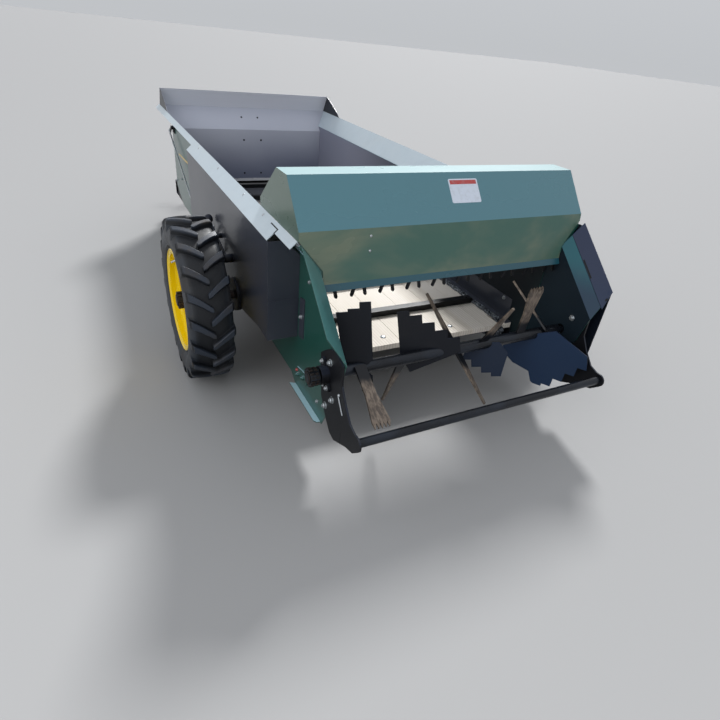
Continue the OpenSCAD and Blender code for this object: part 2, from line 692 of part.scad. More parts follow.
module beater_paddles() color(steel_black) at_box()
    difference() {
        paddle_plates(paddle_t);
        tube_space();
    }

// Arms: flat bars with a toothed fan, or plain blades that narrow to the tip.
// One row each: middle x (the outer ones from their wall), angle, lean, twist, side of the tube,
// kind, reach of each end
arms = [[104 - half_in, 210, 0, 0, -1, "fan", [arm_tip_r - 2]],
        [299 - half_in, 286, 5, 8, 0, "blade", [arm_tip_r]],
        [-12, 47, 16, -30, 0, "blade", [arm_tip_r, arm_tip_r]],
        [half_in - 120, 40, 17.4, -38, 1, "blade", [arm_tip_r, 95]],
        [half_in - 240, 98, 3, 0, 0, "fan", [arm_tip_r]], [112, 118, 0, 0, 0, "blade", [arm_tip_r]]];
arm_bar_t = 8;
blade_tip_w = 10;
fan_w = 70;
fan_start = 118;
tine_n = 5;
tine_l = 22;
hub_end = -3;
module fan_outline(reach) {
    h = arm_bar_w / 2;
    f = fan_w / 2;
    tine_w = fan_w / tine_n;
    root = reach - tine_l;
    polygon(concat([[-h + 8, -hub_end], [-h, 4 - hub_end], [-h, fan_start], [-f, root]],
                   [for (k = [0 : tine_n - 1], p = [[0.3, tine_l], [1, 0]])
                       [-f + (k + p[0]) * tine_w, root + p[1]]],
                   [[h, fan_start], [h, 4 - hub_end], [h - 8, -hub_end]]));
}
module blade_outline(reach) {
    tip = (arm_bar_w + (blade_tip_w - arm_bar_w) * reach / arm_tip_r) / 2;
    polygon([[-arm_bar_w / 2, 0], [-tip, reach], [tip, reach], [arm_bar_w / 2, 0]]);
}
module beater_arms() color(steel_black) at_box()
    difference() {
        for (p = arms, side = [0 : len(p[6]) - 1])
            at_beater(p[0], p[1], p[2], p[3])
                translate([0, 0, p[4] * ((beater_tube_d + arm_bar_t) / 2 + 2 * seat_gap) - arm_bar_t / 2])
                    rotate(180 * side) linear_extrude(arm_bar_t) {
                        if (p[5] == "fan") fan_outline(p[6][side]);
                        if (p[5] == "blade") blade_outline(p[6][side]);
                    }
        tube_space();
    }

// Control lever on a bracket of the left wall, and the long flat rod that it pulls
lever_at = [box_len - 66, rail_h - 144];
rod_high = [box_len - 11, rail_h - 173];
rod_low = [box_len - 687, rail_h - 475];
rod_w = 12;
rod_t = 8;
rod_x = 21;
module link(a, b, w, r) {
    run = b - a;
    translate(a) rotate(atan2(run[1], run[0])) translate([0, -w / 2]) square([norm(run), w]);
    translate(a) circle(r = r);
    translate(b) circle(r = r);
}
module control_lever() color(steel_black) at_box() {
    x1 = wall_out + seat_gap;
    along_x(-wall_out - rod_x + seat_gap, -wall_out - rod_x + rod_t) link(lever_at, rod_high, 20, 14);
    bar_x(-wall_out - rod_x + 1, -x1, 12, lever_at[0], lever_at[1]);
    along_x(-x1 - 5, -x1) translate(lever_at - [40, 34]) square([62, 68]);
}
module control_rod() color(zinc_grey) at_box() {
    along_x(-wall_out - rod_x - rod_t, -wall_out - rod_x) link(rod_low, rod_high, rod_w, rod_w * 0.8);
    bar_x(-wall_out - rod_x - 1, -wall_out - seat_gap, 8, rod_low[0], rod_low[1]);
}

floor_boards();
mirrored() side_wall();  // side_wall_left
side_wall();  // side_wall_right
mirrored() rail();  // rail_left
rail();  // rail_right
mirrored() side_cover();  // side_cover_left
side_cover();  // side_cover_right
mirrored() closure();  // closure_left
closure();  // closure_right
mirrored() rear_plate(flange_left_w, 0.09);  // rear_plate_left
rear_plate(flange_right_w, 0.03);  // rear_plate_right
beater_cover();
front_panel();
hood();
hood_teeth();
mirrored() arm();  // arm_left
arm();  // arm_right
guard_bar();
beater_bearings();
sills();
cross_members();
axle_housings();
conveyor_chains();
conveyor_slats();
conveyor_shafts();
headstock();
tongue();
tongue_braces();
hitch();
jack_mount();
jack_tube();
jack_foot();
jack_crank();
mirrored() tyre();  // tyre_left
tyre();  // tyre_right
mirrored() rim();  // rim_left
rim();  // rim_right
mirrored() axle();  // axle_left
axle();  // axle_right
beater_shaft();
beater_paddles();
beater_arms();
control_lever();
control_rod();
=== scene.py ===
"""Looks for the manure spreader: materials, fasteners, chain links, tyres and plates.

Metres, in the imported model's own frame. +Y is the towing end and +Z is up.
Places of small pieces count their Y from the rails' rear end.
"""
import json
import math

import bmesh
import bpy
from mathutils import Matrix, Vector


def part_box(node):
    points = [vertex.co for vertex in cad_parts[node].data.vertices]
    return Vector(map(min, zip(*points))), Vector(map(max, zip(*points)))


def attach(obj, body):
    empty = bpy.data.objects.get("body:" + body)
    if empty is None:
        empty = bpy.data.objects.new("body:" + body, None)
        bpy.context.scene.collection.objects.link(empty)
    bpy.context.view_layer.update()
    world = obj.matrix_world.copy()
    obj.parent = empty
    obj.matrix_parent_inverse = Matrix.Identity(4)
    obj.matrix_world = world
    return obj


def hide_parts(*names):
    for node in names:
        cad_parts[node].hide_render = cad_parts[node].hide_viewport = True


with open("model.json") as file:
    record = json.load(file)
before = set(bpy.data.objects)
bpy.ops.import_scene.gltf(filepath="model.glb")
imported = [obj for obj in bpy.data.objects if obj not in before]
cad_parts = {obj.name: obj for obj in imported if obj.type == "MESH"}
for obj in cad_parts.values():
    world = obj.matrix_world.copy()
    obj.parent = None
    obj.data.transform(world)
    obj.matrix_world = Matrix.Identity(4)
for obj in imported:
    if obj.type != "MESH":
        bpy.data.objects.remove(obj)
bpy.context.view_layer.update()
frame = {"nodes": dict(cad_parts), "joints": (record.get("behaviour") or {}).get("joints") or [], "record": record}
nodes = frame["nodes"]
pivots = {joint["name"]: Vector(joint["pos_m"]) for joint in frame["joints"]}

# Main places of the solids, read from the frame
Y_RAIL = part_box("rail_left")[0].y
RAIL_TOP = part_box("rail_right")[1].z
RAIL_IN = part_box("hood")[1].x
HALF_IN, WALL_OUT = (corner.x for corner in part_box("side_wall_right"))
PLATE_OUT, ARM_OUT = (corner.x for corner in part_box("arm_right"))
COVER_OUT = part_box("side_cover_right")[1].x
FLOOR_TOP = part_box("floor_boards")[1].z
HOOD_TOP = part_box("hood")[1].z
BEATER = pivots["beater_spin"]
AXLE = pivots["wheel_right_spin"]

# Camera, from the photograph's perspective: place, angles in radians, focal length in pixels
CAMERA_AT = Vector((-1.2105, -3.1238, 1.4034))
YAW, PITCH, ROLL = 0.52709, 0.57079, 0.11779
FOCAL_PX = 513.04
IMAGE_PX = 720
SENSOR_MM = 36.0

# Light and background. Lamps: name, kind, place, power, size in metres or radians
LAMPS = (("key", "SUN", (2.8, 3.0, 4.2), 3.4, 0.18), ("fill", "AREA", (-4.5, -3.6, 3.6), 70, 3.5))
LAMP_TARGET = Vector((0, -0.5, 0.4))
HORIZON, ZENITH = "#d2d5d9", "#f6f9ff"
ZENITH_AT = 0.7
SKY_STRENGTH = 0.82
FLOOR_GREY = "#9e9e9e"
FLOOR_REACH = 60.0


def camera():
    """The camera looks down and to the right, and is rolled a little."""
    ahead = Vector((math.sin(YAW) * math.cos(PITCH), math.cos(YAW) * math.cos(PITCH), -math.sin(PITCH)))
    right = Vector((math.cos(YAW), -math.sin(YAW), 0.0))
    down = ahead.cross(right)
    x_axis = math.cos(ROLL) * right - math.sin(ROLL) * down
    y_axis = -(math.sin(ROLL) * right + math.cos(ROLL) * down)
    data = bpy.data.cameras.new("camera")
    data.sensor_width = SENSOR_MM
    data.lens = FOCAL_PX / IMAGE_PX * SENSOR_MM
    data.clip_start = 0.05
    data.clip_end = 200.0
    made = bpy.data.objects.new("camera", data)
    bpy.context.scene.collection.objects.link(made)
    turn = Matrix((x_axis, y_axis, -ahead)).transposed().to_4x4()
    made.matrix_world = Matrix.Translation(CAMERA_AT) @ turn
    bpy.context.scene.camera = made


# Materials

COAT_ROUGHNESS = 0.12
BEVEL_SAMPLES = 4
BOARD_PITCH = 0.1563
RIB_PITCH = BOARD_PITCH / 11


def linear(colour):
    """A #rrggbb colour as linear red, green, blue and one."""
    parts = [int(colour[i:i + 2], 16) / 255 for i in (1, 3, 5)]
    return [*(c / 12.92 if c <= 0.04045 else ((c + 0.055) / 1.055) ** 2.4 for c in parts), 1.0]


class Shader:
    """Builds one procedural material, node by node."""

    def __init__(self, name, colour, roughness=0.5, metallic=0.0, coat=0.0, shine=0.5):
        self.name = name
        self.material = bpy.data.materials.new(name)
        self.material.use_nodes = True
        self.tree = self.material.node_tree
        self.bsdf = self.tree.nodes["Principled BSDF"]
        self.bsdf.inputs["Base Color"].default_value = linear(colour)
        self.bsdf.inputs["Roughness"].default_value = roughness
        self.bsdf.inputs["Metallic"].default_value = metallic
        self.bsdf.inputs["Coat Weight"].default_value = coat
        self.bsdf.inputs["Coat Roughness"].default_value = COAT_ROUGHNESS
        self.bsdf.inputs["Specular IOR Level"].default_value = shine
        self.coords = self.tree.nodes.new("ShaderNodeTexCoord")
        self.place = self.coords.outputs["Object"]

    def put(self, socket, value):
        """A number, colour, vector or output into a socket."""
        if isinstance(value, bpy.types.NodeSocket):
            self.tree.links.new(value, socket)
        elif isinstance(value, str):
            socket.default_value = linear(value)
        else:
            socket.default_value = value

    def maths(self, kind, a, b=0.0):
        node = self.tree.nodes.new("ShaderNodeMath")
        node.operation = kind
        self.put(node.inputs[0], a)
        self.put(node.inputs[1], b)
        return node.outputs[0]

    def plus(self, a, b):
        return self.maths("ADD", a, b)

    def times(self, a, b):
        return self.maths("MULTIPLY", a, b)

    def axis(self, letter, normal=False):
        """One coordinate of the place in the object, or of the surface's direction."""
        node = self.tree.nodes.new("ShaderNodeSeparateXYZ")
        source = self.coords.outputs["Normal"] if normal else self.place
        self.tree.links.new(source, node.inputs[0])
        return node.outputs[letter]

    def radius_about(self, axle):
        """Distance from an axle along X."""
        y = self.maths("SUBTRACT", self.axis("Y"), axle.y)
        z = self.maths("SUBTRACT", self.axis("Z"), axle.z)
        return self.maths("SQRT", self.plus(self.times(y, y), self.times(z, z)))

    def noise(self, scale, detail, rough, stretch=(1, 1, 1), distortion=0.0):
        """Soft noise between 0 and 1, stretched by a factor along each axis."""
        mapping = self.tree.nodes.new("ShaderNodeMapping")
        self.put(mapping.inputs["Vector"], self.place)
        mapping.inputs["Scale"].default_value = stretch
        node = self.tree.nodes.new("ShaderNodeTexNoise")
        self.put(node.inputs["Vector"], mapping.outputs["Vector"])
        node.inputs["Scale"].default_value = scale
        node.inputs["Detail"].default_value = detail
        node.inputs["Roughness"].default_value = rough
        node.inputs["Distortion"].default_value = distortion
        return node.outputs["Fac"]

    def ramp(self, value, low, high):
        """0 where the value is at or below low, 1 at or above high."""
        node = self.tree.nodes.new("ShaderNodeMapRange")
        node.interpolation_type = "SMOOTHSTEP"
        self.put(node.inputs["Value"], value)
        node.inputs["From Min"].default_value = low
        node.inputs["From Max"].default_value = high
        return node.outputs["Result"]

    def patches(self, scale, detail, rough, low, high, stretch=(1, 1, 1)):
        """Noise cut to patches: 0 between them and 1 on them."""
        return self.ramp(self.noise(scale, detail, rough, stretch), low, high)

    def mix(self, factor, a, b):
        """Colour a where the factor is 0, colour b where it is 1."""
        node = self.tree.nodes.new("ShaderNodeMix")
        node.data_type = "RGBA"
        self.put(node.inputs["Factor"], factor)
        self.put(node.inputs["A"], a)
        self.put(node.inputs["B"], b)
        return node.outputs["Result"]

    def tint(self, tone, mask, share, colour):
        """The tone with a share of another colour where the mask is 1."""
        return self.mix(self.times(mask, share), tone, colour)

    def colour(self, value):
        self.put(self.bsdf.inputs["Base Color"], value)

    def overlay(self, mask, colour):
        """Lays another colour over the present one where the mask is 1."""
        present = self.bsdf.inputs["Base Color"].links[0].from_socket
        self.colour(self.mix(mask, present, colour))

    def rough(self, base, mask, more):
        """Roughness of base, and more where the mask is 1."""
        self.put(self.bsdf.inputs["Roughness"], self.plus(base, self.times(mask, more)))

    def bump(self, height, distance, strength, edge=0.0):
        """Relief from a height, on corners rounded by edge metres."""
        node = self.tree.nodes.new("ShaderNodeBump")
        node.inputs["Distance"].default_value = distance
        node.inputs["Strength"].default_value = strength
        self.put(node.inputs["Height"], height)
        if edge:
            round_off = self.tree.nodes.new("ShaderNodeBevel")
            round_off.samples = BEVEL_SAMPLES
            round_off.inputs["Radius"].default_value = edge
            self.tree.links.new(round_off.outputs["Normal"], node.inputs["Normal"])
        self.tree.links.new(node.outputs["Normal"], self.bsdf.inputs["Normal"])


# Painted light: how far a face looks up where each painted tone after the first begins and is full
TONE_STEPS = ((0.24, 0.40), (0.50, 0.62), (0.82, 0.96), (-0.12, -0.45))


def painted_light_by_direction(shade, tones):
    """Painted light: a tone for each way that a face looks, upright, steep, slanted, level and downwards, with
    painted sky reflection on faces that look up and painted shade on faces that look down.
    """
    up = shade.axis("Z", normal=True)
    tone = tones[0]
    for (begins, full), other in zip(TONE_STEPS, tones[1:]):
        tone = shade.mix(shade.ramp(up, begins, full), tone, other)
    return tone


def inwards(shade):
    """1 on the faces of side sheets that look towards the machine's middle."""
    across = shade.times(shade.axis("X", normal=True), shade.maths("SIGN", shade.axis("X")))
    return shade.ramp(across, -0.9, -0.97)


def dusty(shade, tone):
    """Thin dust in patches, on what faces up."""
    up = shade.ramp(shade.axis("Z", normal=True), 0.1, 0.9)
    patch = shade.times(shade.patches(5.0, 6.0, 0.65, 0.52, 0.72), up)
    return shade.tint(tone, patch, 0.06, "#8f8572")


# Tones by direction for each paint: painted sky reflection on faces that look up, painted shade on faces that look
# down
GREEN = ("#1f4f46", "#457675", "#47716f", "#b4d8e4", "#24433a")
# Painted shade: a darker, bluer copy of GREEN for the right rear plate
GREEN_SHADED = ("#1c4a41", "#24394e", "#2b4d58", "#7fa3a8", "#1c3a3a")
BLACK = ("#131418", "#1b1e25", "#222733", "#2b303b", "#0d0e10")
COVER_BLACK = ("#363a44", "#343944", "#323743", "#3a3f4b", "#1c1e23")
# Black paint of the beater cover and paddles, whose blue tones are painted sky reflection
BEATER_COVER_SKY_REFLECTION = ("#161c27", "#1d2d49", "#2a3a56", "#33435c", "#121720")
PADDLE_BLACK_SKY_REFLECTION = ("#0d1119", "#090d16", "#152036", "#22304a", "#090b10")
PANEL_BLACK = ("#1b1e25", "#23262f", "#2b2f3a", "#343946", "#14161b")
# Each paint: its tones by direction (painted light), roughness, coat, shine, darker tone on the inside of
# side sheets (painted shade), and tone on the upper part of steep faces (painted reflection)
PAINTS = {
    # Copies of the green paint for single pieces: wall_right and plate_right are the right side's painted-shade
    # copies, duller and darker inside
    "green_paint": (GREEN, 0.30, 0.40, 0.5, "#14191f", None),
    "plate_left": (GREEN, 0.30, 0.40, 0.5, "#10202a", None),
    "wall_right": (GREEN, 0.42, 0.0, 0.25, "#0f161d", None),
    "plate_right": (GREEN_SHADED, 0.42, 0.0, 0.25, "#101e28", "#27606a"),
    "black_paint": (BLACK, 0.42, 0.0, 0.25, None, None),
    "cover_black": (COVER_BLACK, 0.30, 0.20, 0.45, None, None),
    "beater_cover_sky_reflection": (BEATER_COVER_SKY_REFLECTION, 0.40, 0.0, 0.3, None, "#27304a"),
    "paddle_black_sky_reflection": (PADDLE_BLACK_SKY_REFLECTION, 0.42, 0.0, 0.25, None, None),
    "panel_black": (PANEL_BLACK, 0.36, 0.10, 0.4, None, None),
}
# Height at which the painted reflection on the upper part of steep faces begins and is full
PAINTED_REFLECTION_HEIGHT = (0.56, 0.70)


def painted(name, tones, roughness, coat, shine, inner, high):
    """Powder coat with a little orange peel, fine scratches and thin dust, over painted light: tones by direction,
    painted shade on the inner faces of side sheets and painted reflection high on steep faces.
    """
    shade = Shader(name, tones[0], roughness, 0.0, coat, shine)
    steep = tones[1]
    # Painted reflection: steep faces take another tone on their upper part
    if high:
        steep = shade.mix(shade.ramp(shade.axis("Z"), *PAINTED_REFLECTION_HEIGHT), steep, high)
    tone = painted_light_by_direction(shade, (tones[0], steep, *tones[2:]))
    cloud = shade.noise(2.2, 3.0, 0.5)
    grain = shade.plus(roughness - 0.05, shade.times(cloud, 0.12))
    # Painted shade on the inner faces of side sheets, which are also rougher there
    if inner:
        inside = inwards(shade)
        tone = shade.mix(inside, tone, inner)
        grain = shade.plus(grain, shade.times(inside, 0.22))
    tone = shade.tint(tone, shade.ramp(cloud, 0.40, 0.75), 0.12, tones[2])
    tone = shade.tint(tone, shade.patches(420.0, 2.0, 0.6, 0.66, 0.76), 0.06, "#7f8f88")
    shade.colour(dusty(shade, tone))
    shade.rough(grain, shade.patches(60.0, 2.0, 0.5, 0.70, 0.74, (1, 1, 0.06)), 0.10)
    shade.bump(shade.noise(260.0, 2.0, 0.5), 0.0004, 0.3, 0.0012)
    return shade


def paint_reflections(paints):
    """Painted reflections: paler tones on glossy faces that look sideways or backwards."""
    paddles = paints["paddle_black_sky_reflection"]
    # Painted sky reflection on the paddle faces that look to the left
    paddles.overlay(paddles.ramp(paddles.axis("X", normal=True), -0.60, -0.78), "#21344f")

    wall = paints["wall_right"]
    # Painted reflection on the front part of the right wall's inner face
    ahead = wall.ramp(wall.axis("Y"), Y_RAIL + 0.9, Y_RAIL + 2.2)
    wall.overlay(wall.times(ahead, inwards(wall)), "#86899a")

    panel = paints["panel_black"]
    # Painted reflection on the front panel's rear face, paler higher up and on faces that look down
    height = panel.plus(panel.axis("Z"), panel.times(panel.noise(1.6, 3.0, 0.5), 0.25))
    haze_and_sheen = panel.mix(panel.ramp(height, 0.48, 0.95), "#70768a", "#b0b4c1")
    haze_and_sheen = panel.mix(panel.ramp(panel.axis("Z", normal=True), -0.2, -0.5), haze_and_sheen, "#d3d6e0")
    panel.overlay(panel.ramp(panel.axis("Y", normal=True), -0.35, -0.65), haze_and_sheen)


def hood_green():
    """Glossy green whose upright face drifts from olive to dark green as painted reflection, with painted light by
    direction.
    """
    shade = Shader("hood_green", "#44554c", 0.26, 0.0, 0.20)
    reflection_drift = shade.noise(2.6, 4.0, 0.55, (0.8, 1, 1.3), 0.4)
    upright = shade.mix(shade.ramp(reflection_drift, 0.34, 0.62), "#3d6358", "#717a66")
    # Painted light: painted sky reflection on faces that look up, a pale painted highlight on the level top,
    # painted shade below
    tone = painted_light_by_direction(shade, (upright, "#1f4f5c", "#4a7984", "#a0c0c2", "#35503f"))
    # Painted light on the hood's faces that look sideways
    sideways = shade.maths("ABSOLUTE", shade.axis("X", normal=True))
    tone = shade.mix(shade.ramp(sideways, 0.8, 0.95), tone, "#566a5f")
    shade.colour(shade.tint(tone, shade.patches(420.0, 2.0, 0.6, 0.66, 0.76), 0.10, "#8a9a94"))
    shade.rough(0.20, reflection_drift, 0.14)
    shade.bump(shade.noise(260.0, 2.0, 0.5), 0.0003, 0.12, 0.0012)
    return shade


def galvanised():
    """Zinc coated sheet of the rails, with soft clouds and faint marks."""
    shade = Shader("galvanised", "#c3d0d7", 0.34, 0.35)
    spangle = shade.noise(14.0, 2.0, 0.5)
    tone = shade.mix(spangle, "#c3d1d9", "#cdd9e0")
    tone = shade.tint(tone, shade.patches(3.0, 5.0, 0.6, 0.45, 0.8), 0.30, "#d6dad9")
    tone = shade.tint(tone, shade.patches(11.0, 5.0, 0.6, 0.50, 0.80), 0.16, "#a7b3ba")
    shade.colour(tone)
    shade.rough(0.27, spangle, 0.08)
    shade.bump(shade.noise(80.0, 2.0, 0.5), 0.0002, 0.15, 0.0012)
    return shade


def boards():
    """Composite boards: sand coloured, finely ribbed along their length, with painted shade in the rib troughs and
    a painted shadow towards the front.
    """
    shade = Shader("boards", "#ddd2c2", 0.66, 0.0, 0.0, 0.35)
    pick = shade.tree.nodes.new("ShaderNodeTexWhiteNoise")
    pick.noise_dimensions = "1D"
    shade.put(pick.inputs["W"], shade.maths("FLOOR", shade.times(shade.axis("X"), 1 / BOARD_PITCH)))
    tone = shade.mix(pick.outputs["Value"], "#eae1d3", "#f1eae0")
    rib = shade.maths("SINE", shade.times(shade.axis("X"), 2 * math.pi / RIB_PITCH))
    # Painted shade in the troughs of the ribs
    tone = shade.tint(tone, shade.ramp(rib, 0.55, 1.0), 0.36, "#9c9184")
    grain = shade.noise(60.0, 5.0, 0.6, (1, 0.03, 1), 0.3)
    tone = shade.tint(tone, shade.ramp(grain, 0.50, 0.68), 0.16, "#b5a692")
    tone = shade.tint(tone, shade.patches(310.0, 3.0, 0.7, 0.56, 0.72), 0.5, "#f3eee6")
    tone = shade.tint(tone, shade.patches(230.0, 3.0, 0.7, 0.62, 0.72), 0.40, "#8b8072")
    # Painted shadow towards the front, where the front panel shades the floor
    ragged = shade.times(shade.noise(7.0, 4.0, 0.6, (1, 0.3, 1)), 0.3)
    front = shade.ramp(shade.plus(shade.axis("Y"), ragged), Y_RAIL + 2.05, Y_RAIL + 2.45)
    shade.colour(shade.mix(front, tone, "#4b4d53"))
    shade.bump(shade.plus(shade.times(rib, -0.5), shade.noise(420.0, 3.0, 0.6)), 0.0006, 0.5, 0.001)
    return shade


def chain_steel():
    """Oiled steel, bright in patches where it rubs and as painted glints, with a little rust."""
    shade = Shader("chain_steel", "#5a5f66", 0.26, 0.35)
    # Bright patches: rubbed steel, and painted glints that make the links stand out
    worn = shade.patches(90.0, 5.0, 0.6, 0.42, 0.66)
    tone = shade.mix(worn, "#4c525a", "#a3abb4")
    shade.colour(shade.tint(tone, shade.patches(24.0, 6.0, 0.7, 0.62, 0.78), 0.35, "#4c3b2e"))
    shade.rough(0.20, worn, 0.16)
    shade.bump(shade.noise(300.0, 3.0, 0.6), 0.0004, 0.3, 0.0012)
    return shade


def slat_steel():
    """Dark bare steel of the slats, rubbed along their length."""
    shade = Shader("slat_steel", "#1b1d21", 0.50, 0.0, 0.0, 0.25)
    rub = shade.patches(40.0, 5.0, 0.6, 0.56, 0.74, (0.3, 1, 1))
    shade.colour(shade.mix(rub, "#111316", "#24272c"))
    shade.rough(0.42, rub, 0.14)
    shade.bump(shade.noise(280.0, 3.0, 0.6), 0.0005, 0.3, 0.0015)
    return shade


def zinc():
    """Zinc plating of the fasteners and the jack."""
    shade = Shader("zinc", "#b9bfc4", 0.28, 0.85)
    haze_and_sheen = shade.noise(120.0, 4.0, 0.6)
    shade.colour(shade.mix(haze_and_sheen, "#a2a8ad", "#cfd4d6"))
    shade.rough(0.18, haze_and_sheen, 0.25)
    shade.bump(shade.noise(500.0, 2.0, 0.5), 0.0003, 0.3, 0.0008)
    return shade


def tyre_rubber():
    """Rubber with painted shade in the grooves between the lugs, and lug faces greyed by a dust film."""
    shade = Shader("tyre_rubber", "#1b1e23", 0.60, 0.0, 0.0, 0.4)
    radius = shade.radius_about(AXLE)
    film = shade.patches(9.0, 7.0, 0.68, 0.44, 0.74)
    wall = shade.mix(film, "#2c3138", "#3c3a38")
    crown = shade.mix(film, "#2c333e", "#403c39")
    # Painted shade on the carcass between the lugs and on the lugs' lower sides
    tone = shade.mix(shade.ramp(radius, 0.318, 0.325), wall, "#14171c")
    tone = shade.mix(shade.ramp(radius, 0.334, 0.343), tone, crown)
    shade.colour(shade.tint(tone, shade.patches(150.0, 4.0, 0.75, 0.60, 0.74), 0.28, "#6a6054"))
    shade.rough(0.46, film, 0.3)
    shade.bump(shade.noise(380.0, 4.0, 0.6), 0.0006, 0.4, 0.002)
    return shade


def yellow_paint():
    """Gloss yellow of the rims, a little sooty."""
    shade = Shader("yellow_paint", "#f2cd06", 0.26, 0.0, 0.4)
    soot = shade.patches(14.0, 6.0, 0.6, 0.60, 0.85)
    tone = shade.mix(shade.noise(3.0, 2.0, 0.5), "#edc604", "#f8d90a")
    shade.colour(shade.tint(tone, soot, 0.18, "#a98f2c"))
    shade.rough(0.22, soot, 0.2)
    shade.bump(shade.noise(240.0, 2.0, 0.5), 0.0003, 0.2, 0.0012)
    return shade


def worn_arms():
    """Beater arms: black near the shaft, brown bare steel towards the tips."""
    shade = Shader("worn_arms", "#6d6259", 0.42, 0.35)
    ragged = shade.plus(shade.radius_about(BEATER), shade.times(shade.noise(30.0, 5.0, 0.6), 0.05))
    worn = shade.ramp(ragged, 0.085, 0.125)
    streak = shade.noise(110.0, 4.0, 0.6, (1, 0.35, 0.35))
    bare = shade.mix(shade.ramp(streak, 0.38, 0.64), "#574e47", "#85786b")
    bare = shade.tint(bare, shade.patches(16.0, 5.0, 0.6, 0.50, 0.72), 0.55, "#54483f")
    shade.colour(shade.mix(worn, "#14161b", bare))
    shade.rough(0.32, worn, 0.14)
    shade.bump(streak, 0.0004, 0.3, 0.001)
    return shade


def shaft_steel():
    """Black bar with a soft shine."""
    shade = Shader("shaft_steel", "#171b22", 0.26, 0.35)
    rub = shade.noise(12.0, 4.0, 0.5, (0.4, 1, 1))
    shade.colour(shade.mix(shade.ramp(rub, 0.45, 0.75), "#14171d", "#262d38"))
    shade.rough(0.20, rub, 0.14)
    shade.bump(shade.noise(400.0, 2.0, 0.5), 0.0002, 0.2, 0.001)
    return shade


def hub_cast():
    """Cast hubs with thin rust."""
    shade = Shader("hub_cast", "#2a2422", 0.55, 0.3)
    shade.colour(shade.mix(shade.patches(34.0, 7.0, 0.7, 0.42, 0.66), "#1b1a1a", "#3f3029"))
    shade.bump(shade.noise(190.0, 5.0, 0.7), 0.0012, 0.6, 0.0015)
    return shade


def dark_gap():
    """Painted shade: the dark seen through a slot."""
    shade = Shader("dark_gap", "#0c0d0f", 0.8)
    shade.colour(shade.mix(shade.noise(200.0, 3.0, 0.6), "#090a0b", "#17181a"))
    return shade


def sticker(name, colour):
    """A printed film, slightly soiled."""
    shade = Shader(name, colour, 0.35, 0.0, 0.3)
    soft = shade.noise(60.0, 4.0, 0.6)
    shade.colour(shade.tint(colour, shade.ramp(soft, 0.45, 0.75), 0.25, "#9aa0a0"))
    shade.bump(soft, 0.0002, 0.2)
    return shade


def make_finishes():
    """One material for each slot, and a few for single pieces, by name."""
    paints = {name: painted(name, *row) for name, row in PAINTS.items()}
    paint_reflections(paints)
    others = [make() for make in (hood_green, galvanised, boards, chain_steel, slat_steel, zinc, tyre_rubber,
                                  yellow_paint, worn_arms, shaft_steel, hub_cast, dark_gap)]
    films = [sticker("sticker_white", "#ccd5e2"), sticker("sticker_red", "#b03a38"),
             sticker("stripe_yellow", "#d9b44a")]
    return {shade.name: shade.material for shade in [*paints.values(), *others, *films]}


# Nodes whose finish isn't the one named after their slot
NODE_FINISH = {
    "hood": "hood_green",
    "front_panel": "panel_black",
    # Painted shade: the right wall and the right rear plate take duller, darker copies of the green paint
    "side_wall_right": "wall_right",
    "rear_plate_left": "plate_left",
    "rear_plate_right": "plate_right",
    "side_cover_left": "cover_black",
    "side_cover_right": "cover_black",
    "closure_left": "cover_black",
    "closure_right": "cover_black",
    # Black paint with painted sky reflection on the beater cover and paddles
    "beater_cover": "beater_cover_sky_reflection",
    "beater_paddles": "paddle_black_sky_reflection",
    "beater_arms": "worn_arms",
    "beater_shaft": "shaft_steel",
    "guard_bar": "shaft_steel",
    "axle_left": "hub_cast",
    "axle_right": "hub_cast",
    "conveyor_slats": "slat_steel",
}


def dress_nodes():
    """Gives each of the solids its finish."""
    for row in frame["record"]["subparts"]:
        piece = nodes[row["node"]]
        piece.data.materials.clear()
        piece.data.materials.append(finishes[NODE_FINISH.get(row["node"], row["material_slot"])])


# Mesh helpers

PLATE_SINK = 0.0004
DOME_RINGS = 5
DOME_SIDES = 16


def circle(centre, side, up, radius, count):
    """Points round a centre, in the plane of two directions."""
    turns = [2 * math.pi * k / count for k in range(count)]
    return [centre + radius * (math.cos(t) * side + math.sin(t) * up) for t in turns]


def quad(a0, a1, b0, b1):
    """The four corners between two pairs of coordinates."""
    return (a0, b0), (a1, b0), (a1, b1), (a0, b1)


